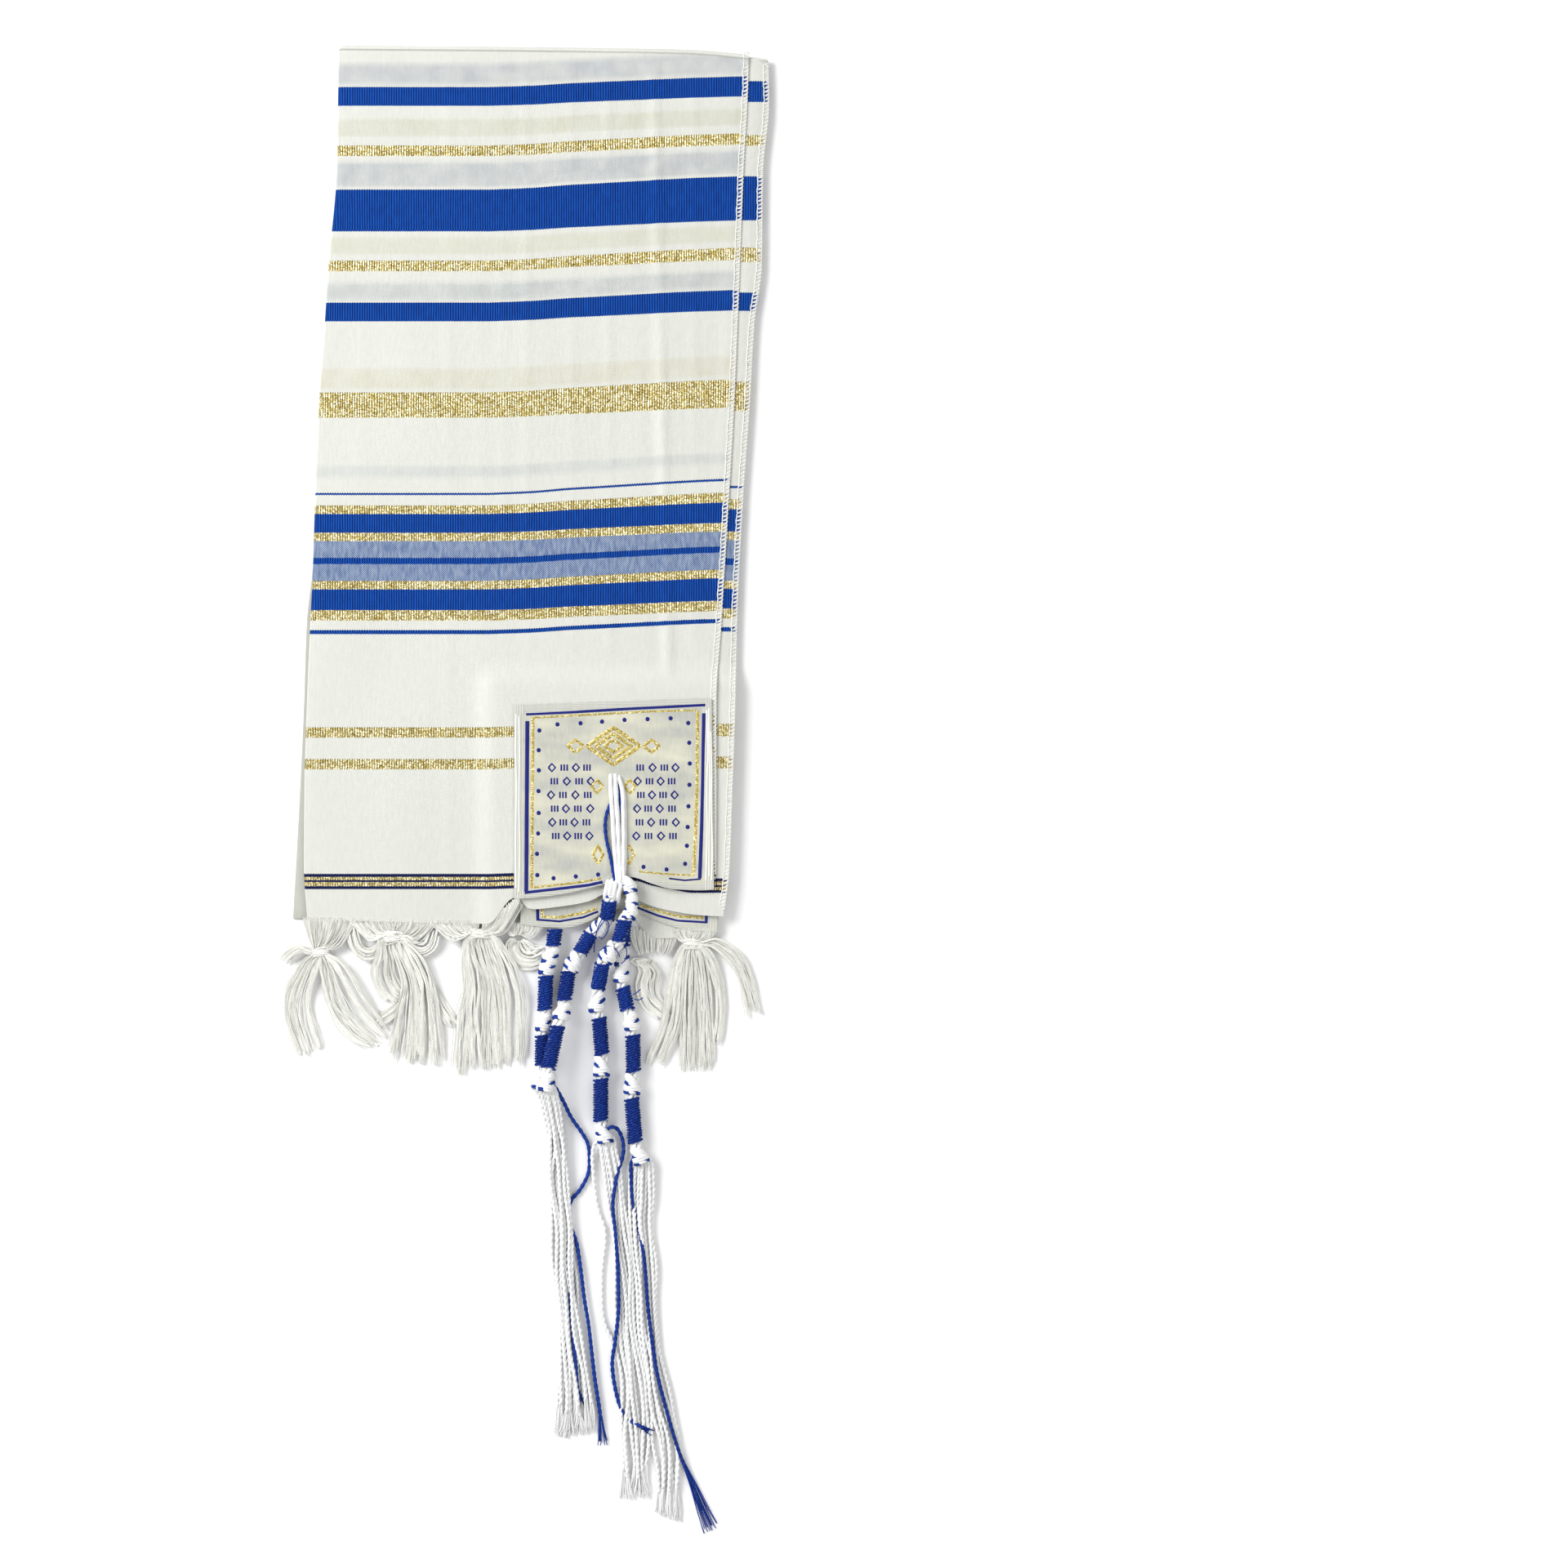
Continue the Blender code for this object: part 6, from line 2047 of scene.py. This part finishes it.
def locks(text: str) -> tuple[Lock, ...]:
    """Reads locks, one on each line: the two angles, a colon and the rows."""
    return tuple(Lock(*angles, rows) for angles, rows in entries(text))


@dataclass
class FringeKnot:
    """A knot of the hem's fringe with its fine yarns."""

    name: str
    x: float
    y: float
    z: float
    radius_x: float
    radius_y: float
    locks: tuple[Lock, ...]
    seed: int = 1
    bound: bool = True
    yarn: float = 0.27
    per_mm: float = 5.5
    hem_per_mm: float = 3.2
    step: float = 2.4
    turns: int = 16

    def build(self, finishes: Finishes) -> Piece:
        """Makes the knot and its yarns as one joined piece.

        Args:
            finishes: The shawl's finishes.

        Returns:
            The piece.
        """
        rng = np.random.default_rng(self.seed)
        weaver = Weaver()
        for lock in self.locks:
            if lock.from_hem:
                self.add_hem_yarns(weaver, lock, rng)
            else:
                self.add_leg(weaver, lock, rng)
        if self.bound:
            self.add_knot(weaver, rng)
        piece = weaver.build(f"{self.name}_yarns", [finishes.fringe])
        dress(piece, "fringe_yarn", self.name)
        return piece

    def root(self, lock: Lock, share: float, size: float) -> Array:
        """The place on the knot where a yarn starts.

        Args:
            lock: The yarn's lock.
            share: How far through the lock the yarn is.
            size: How far out it starts, as a share of the knot's radius.

        Returns:
            The place, x and y.
        """
        angle = math.radians(lock.first_angle + (lock.last_angle - lock.first_angle) * share)
        across, along = math.cos(angle) * self.radius_x * size, math.sin(angle) * self.radius_y * size
        return np.array([self.x + across, self.y + along])

    def add_hem_yarns(self, weaver: Weaver, lock: Lock, rng: Random) -> None:
        """Adds the yarns that gather from the hem into the knot, in small groups.

        Args:
            weaver: Collects the yarns.
            lock: The yarns' lock.
            rng: Gives each yarn its own way.
        """
        first, last = np.array(lock.rows)
        count = int(np.linalg.norm(last - first) * self.hem_per_mm) + 8
        for n in range(count):
            share = (n + rng.uniform(0.1, 0.9)) / count
            group = (math.floor(share * 7) + 0.5) / 7
            edge = first + (last - first) * share
            start = edge + np.array([rng.uniform(-0.3, 0.3), rng.uniform(0.4, 1.8), 0.55])
            over = edge + np.array([0.0, -1.0, rng.uniform(-0.5, 0.5)])
            root = self.root(lock, share * 0.4 + group * 0.6, 0.7)
            end = np.array([root[0], root[1], self.z + rng.uniform(-1.0, 1.6)])
            droop = min(9.0, abs(end[0] - edge[0]) * rng.uniform(0.22, 0.4))
            middle = over * 0.5 + end * 0.5
            middle[1] -= droop
            middle[2] += rng.uniform(-0.9, 0.4)
            path = smooth_path(np.array([start, over, middle, end]), 2.0)
            path[:, 2] = np.maximum(path[:, 2], self.yarn + 0.1)
            weaver.tube(path, self.yarn, sides=3)

    def add_leg(self, weaver: Weaver, lock: Lock, rng: Random) -> None:
        """Adds one hanging lock of yarns: a few groups that part towards an uneven cut end.

        Args:
            weaver: Collects the yarns.
            lock: The yarns' lock.
            rng: Gives each yarn its own way.
        """
        rows = np.array(lock.rows)
        side = path_sides(rows)
        groups = 4 + int(rows[:, 3].max() / 2.0)
        drift = np.cumsum(rng.normal(0.0, 0.045, (len(rows), groups)), axis=0)
        cut = rng.uniform(0.0, 6.0, groups)
        lift = rng.uniform(-0.7, 1.0, groups)
        count = int(rows[:, 3].max() * self.per_mm) + 16
        for n in range(count):
            share = rng.random()
            group = min(groups - 1, int(share * groups))
            middle = (group + 0.5) / groups
            layer = rng.uniform(-0.35, 0.35) + lift[group]
            root = self.root(lock, share, 0.5)
            out = self.root(lock, share, 1.2)
            controls = [
                [root[0], root[1], self.z + layer],
                [out[0], out[1], self.z + layer * 1.3],
            ]
            stray = rng.normal(0.0, 0.03) * (3.0 if n % 9 == 0 else 1.0)
            for k, (x, y, z, width) in enumerate(rows):
                down = (k + 1) / len(rows)
                gathered = middle + (share - middle) * (0.9 - 0.3 * down)
                off = 0.5 - gathered + drift[k][group] + stray * down
                place = np.array([x, y, z]) + side[k] * width * off
                place[2] = z + layer * (0.9 - 0.12 * k)
                controls.append(place)
            path = smooth_path(np.array(controls), self.step)
            path = path[: max(4, len(path) - int((cut[group] + rng.uniform(0.0, 2.5)) / self.step))]
            run = np.arange(len(path)) * self.step
            curl = 0.3 * np.sin(run / rng.uniform(3.0, 6.0) + rng.uniform(0, 6))
            path = path + path_sides(path) * curl[:, None]
            path[:, 2] = np.maximum(path[:, 2], self.yarn + 0.05)
            size = np.full(len(path), self.yarn)
            size[-1] = 0.12
            weaver.tube(path, size, sides=3)

    def add_knot(self, weaver: Weaver, rng: Random) -> None:
        """Adds the knot: a bundle of yarns wound over itself.

        Args:
            weaver: Collects the yarns.
            rng: Gives each turn its own way.
        """
        middle = np.array([self.x, self.y, self.z + 0.2])
        size_x, size_y = self.radius_x * 0.8, self.radius_y * 0.8
        weaver.ball(middle, np.array([[0, size_y, 0], [size_x, 0, 0], [0, 0, 1.9]], float))
        angle = np.linspace(0.0, math.tau, 16, endpoint=False)
        for n in range(self.turns):
            lean = rng.uniform(-0.7, 0.7)
            shift = rng.uniform(-0.6, 0.6) * size_y
            ring_x = size_x * rng.uniform(0.85, 1.15)
            path = np.stack(
                [
                    middle[0] + ring_x * np.cos(angle),
                    middle[1] + shift + lean * size_y * np.cos(angle + n),
                    middle[2] + 2.0 * np.sin(angle) * math.sqrt(max(0.1, 1 - (shift / size_y) ** 2)),
                ],
                axis=1,
            )
            weaver.tube(path, 0.3, sides=4, upright=(0.0, 1.0, 0.0), closed=True)


FRINGE = (
    FringeKnot("fringe_1", -104.0, -83.0, 4.0, 5.0, 3.8, locks("""
        165 20: -112.6 -66.6 5.8; -86 -67.3 5.8
        -20 -90: -97.6 -92 4.2 13; -91.5 -107 3.6 18; -82.6 -120 2.2 17; -73 -129 1.3 11
        -92 -160: -110.6 -92 3.8 11; -115.6 -104 2.2 14.5; -115.8 -117 1.4 15; -109.6 -136.4 1.2 13
        -163 -193: -114 -81.4 4 5.5; -120 -84.8 2.4 7; -124 -90.4 1.4 5.5
    """), seed=101),
    FringeKnot("fringe_2", -66.6, -75.4, 4.2, 6.0, 3.8, locks("""
        205 170: -74.8 -82.2 3.6 5.2; -80.8 -84.6 3 6; -86.2 -79.4 4 5.4; -88.2 -68 5.4 5
        165 15: -88 -67.2 5.8; -45 -67.9 5.8
        12 -14: -57.4 -79.6 4.4 4.6; -52.6 -82.6 3.8 5.2; -47.2 -79.4 4.2 4.8; -44.6 -69.6 5.2 4.6
        5 -26: -55.8 -84 2.8 3.4; -50 -95 1.5 4.6; -43 -109 1.3 6.4; -35 -122.8 1.2 7.4
        -30 -104: -58.6 -88 4.8 13; -54.6 -100 4.4 16; -54.6 -116 3.4 20; -56 -140.8 1.4 25
        -106 -160: -71.6 -86 3.8 9.4; -72.6 -94 2.4 12; -69.6 -102 1.6 11; -63.6 -108 1.2 8.6
        -60 -80: -60 -98 2.2 3; -63.6 -110 1.6 4.4; -70.6 -116 1.4 5; -77 -120 1.2 5
    """), seed=102),
    FringeKnot("fringe_3", -22.1, -73.6, 4.2, 6.4, 3.4, locks("""
        172 105: -47 -68 5.8; -22.6 -68.3 5.8
        85 -20: -20.8 -69.6 6.6; -1.6 -56.6 9.4
        60 0: -15 -66 7; -2 -55 9.8
        30 -15: -8 -64 5.4; -0.6 -59 7
        -10 -80: -14.6 -82 3.8 11; -10 -93 3.2 14.6; -7 -110 2.2 15; -7.2 -142 1.3 12.4
        -84 -165: -25.6 -84 4 12.6; -22.6 -100 2.8 16.6; -22.8 -118 1.8 19.6; -21.8 -146 1.3 22
    """), seed=103),
    FringeKnot("fringe_4", -2.2, -76.0, 3.2, 4.4, 2.6, locks("""
        150 40: -10.6 -68.6 3.6; 9.4 -70.4 3.2
        -30 -70: 2.4 -79.6 2.8 4.4; 5.4 -81.6 2.2 4.6; 10.6 -80.8 1.6 4.4
        -110 -170: -6.8 -81.4 2.6 5.6; -3.6 -87.4 1.6 6.2; 3 -89.2 1.4 6.4; 12 -86.6 1.3 6.8
        -80 -120: -3.4 -80.6 3.4 4.6; -0.4 -84.6 2.6 5; 5 -85.4 2.2 5; 10.6 -82 1.8 5
    """), seed=104, bound=False),
    FringeKnot("fringe_5", 66.4, -85.4, 3.0, 11.0, 3.0, locks("""
        165 15: 54 -71.4 2.8; 78.6 -75.4 2.8
        -85 -150: 64.6 -93 2.2 11.6; 62.8 -101 1.5 10.8; 65.6 -109.4 1.3 8.8; 75 -117.2 1.2 6.6
    """), seed=105, bound=False),
    FringeKnot("fringe_6", 87.0, -78.6, 4.0, 5.4, 3.4, locks("""
        160 20: 77 -72.4 4.4; 98.4 -72.6 4.4
        12 -12: 99 -78.4 3.8 5.4; 108.8 -85.6 2.6 7; 115 -98 1.5 6.8; 119.2 -115.8 1.2 7.4
        -18 -52: 97 -88 3.2 5.6; 100.6 -102 1.8 6; 101.4 -115 1.3 6; 99.4 -131 1.2 5.4
        -50 -90: 90.8 -90 3.4 7.6; 92.4 -106 2.2 8.4; 93.4 -122 1.5 8.8; 94 -144.2 1.2 9.6
        -88 -122: 84.8 -90 3.6 7.6; 84.2 -106 3 8.2; 84 -122 2 8.8; 83.8 -144.4 1.2 8.6
        -122 -160: 79.6 -90 3.8 7; 77.6 -104 3.6 9.4; 75 -120 3 10.6; 66.6 -142 1.3 9.8
    """), seed=106),
)


# Stage


@dataclass
class Studio:
    """The plain floor, the soft lights and the camera straight above."""

    view_middle: Spot = (0.1338, 0.0032)
    view_width: float = 0.8064
    lens: float = 85.0
    sensor: float = 36.0
    floor_size: float = 6.0
    floor_height: float = -0.0002

    def build(self) -> None:
        """Makes the floor, the lights and the camera."""
        bpy.ops.mesh.primitive_plane_add(size=self.floor_size, location=(0.0, 0.0, self.floor_height))
        floor = bpy.context.active_object
        floor.name = "floor"
        floor.data.materials.append(Backdrop().build())
        self.add_light("key_light", (-1.5, 0.9, 1.5), 1.3, 59.0)
        self.add_light("fill_light", (1.2, -0.6, 2.0), 1.6, 15.0)
        world = bpy.data.worlds.new("studio")
        world.use_nodes = True
        background = world.node_tree.nodes["Background"]
        background.inputs["Color"].default_value = (1.0, 1.0, 1.0, 1.0)
        background.inputs["Strength"].default_value = 0.5
        bpy.context.scene.world = world
        bpy.context.scene.view_settings.view_transform = "Standard"
        camera = bpy.data.cameras.new("camera")
        camera.lens = self.lens
        camera.sensor_width = self.sensor
        camera.clip_end = 50.0
        holder = bpy.data.objects.new("camera", camera)
        holder.location = (*self.view_middle, self.view_width * self.lens / self.sensor)
        bpy.context.scene.collection.objects.link(holder)
        bpy.context.scene.camera = holder

    def add_light(self, name: str, place: Point, size: float, power: float) -> None:
        """Adds a square soft light that faces the shawl.

        Args:
            name: The light's name.
            place: Where it stands, in metres.
            size: Its width, in metres.
            power: Its power in watts.
        """
        lamp = bpy.data.lights.new(name, "AREA")
        lamp.size = size
        lamp.energy = power
        holder = bpy.data.objects.new(name, lamp)
        holder.location = place
        holder.rotation_euler = (-Vector(place)).to_track_quat("-Z", "Y").to_euler()
        bpy.context.scene.collection.objects.link(holder)


def main() -> None:
    """Makes the studio and every piece of the shawl."""
    Studio().build()
    finishes = Finishes()
    BackLayer().build(finishes)
    HiddenLayers().build(finishes)
    SecondLayer().build(finishes)
    FrontLayer().build(finishes)
    Selvedge("stitches_front", FRONT_RIGHT, front_height, 378.0, -44.0).build(finishes)
    Selvedge("stitches_second", SECOND_RIGHT, second_height, 372.0, -62.0).build(finishes)
    weavings = {PATCHES[0].name: TOP_WEAVING, PATCHES[2].name: LOWER_WEAVING}
    for patch in PATCHES:
        extras = weavings[patch.name].build(finishes) if patch.name in weavings else []
        patch.build(finishes, extras)
    for tassel in TASSELS:
        tassel.build(finishes)
    for fringe in FRINGE:
        fringe.build(finishes)


if __name__ == "__main__":
    main()
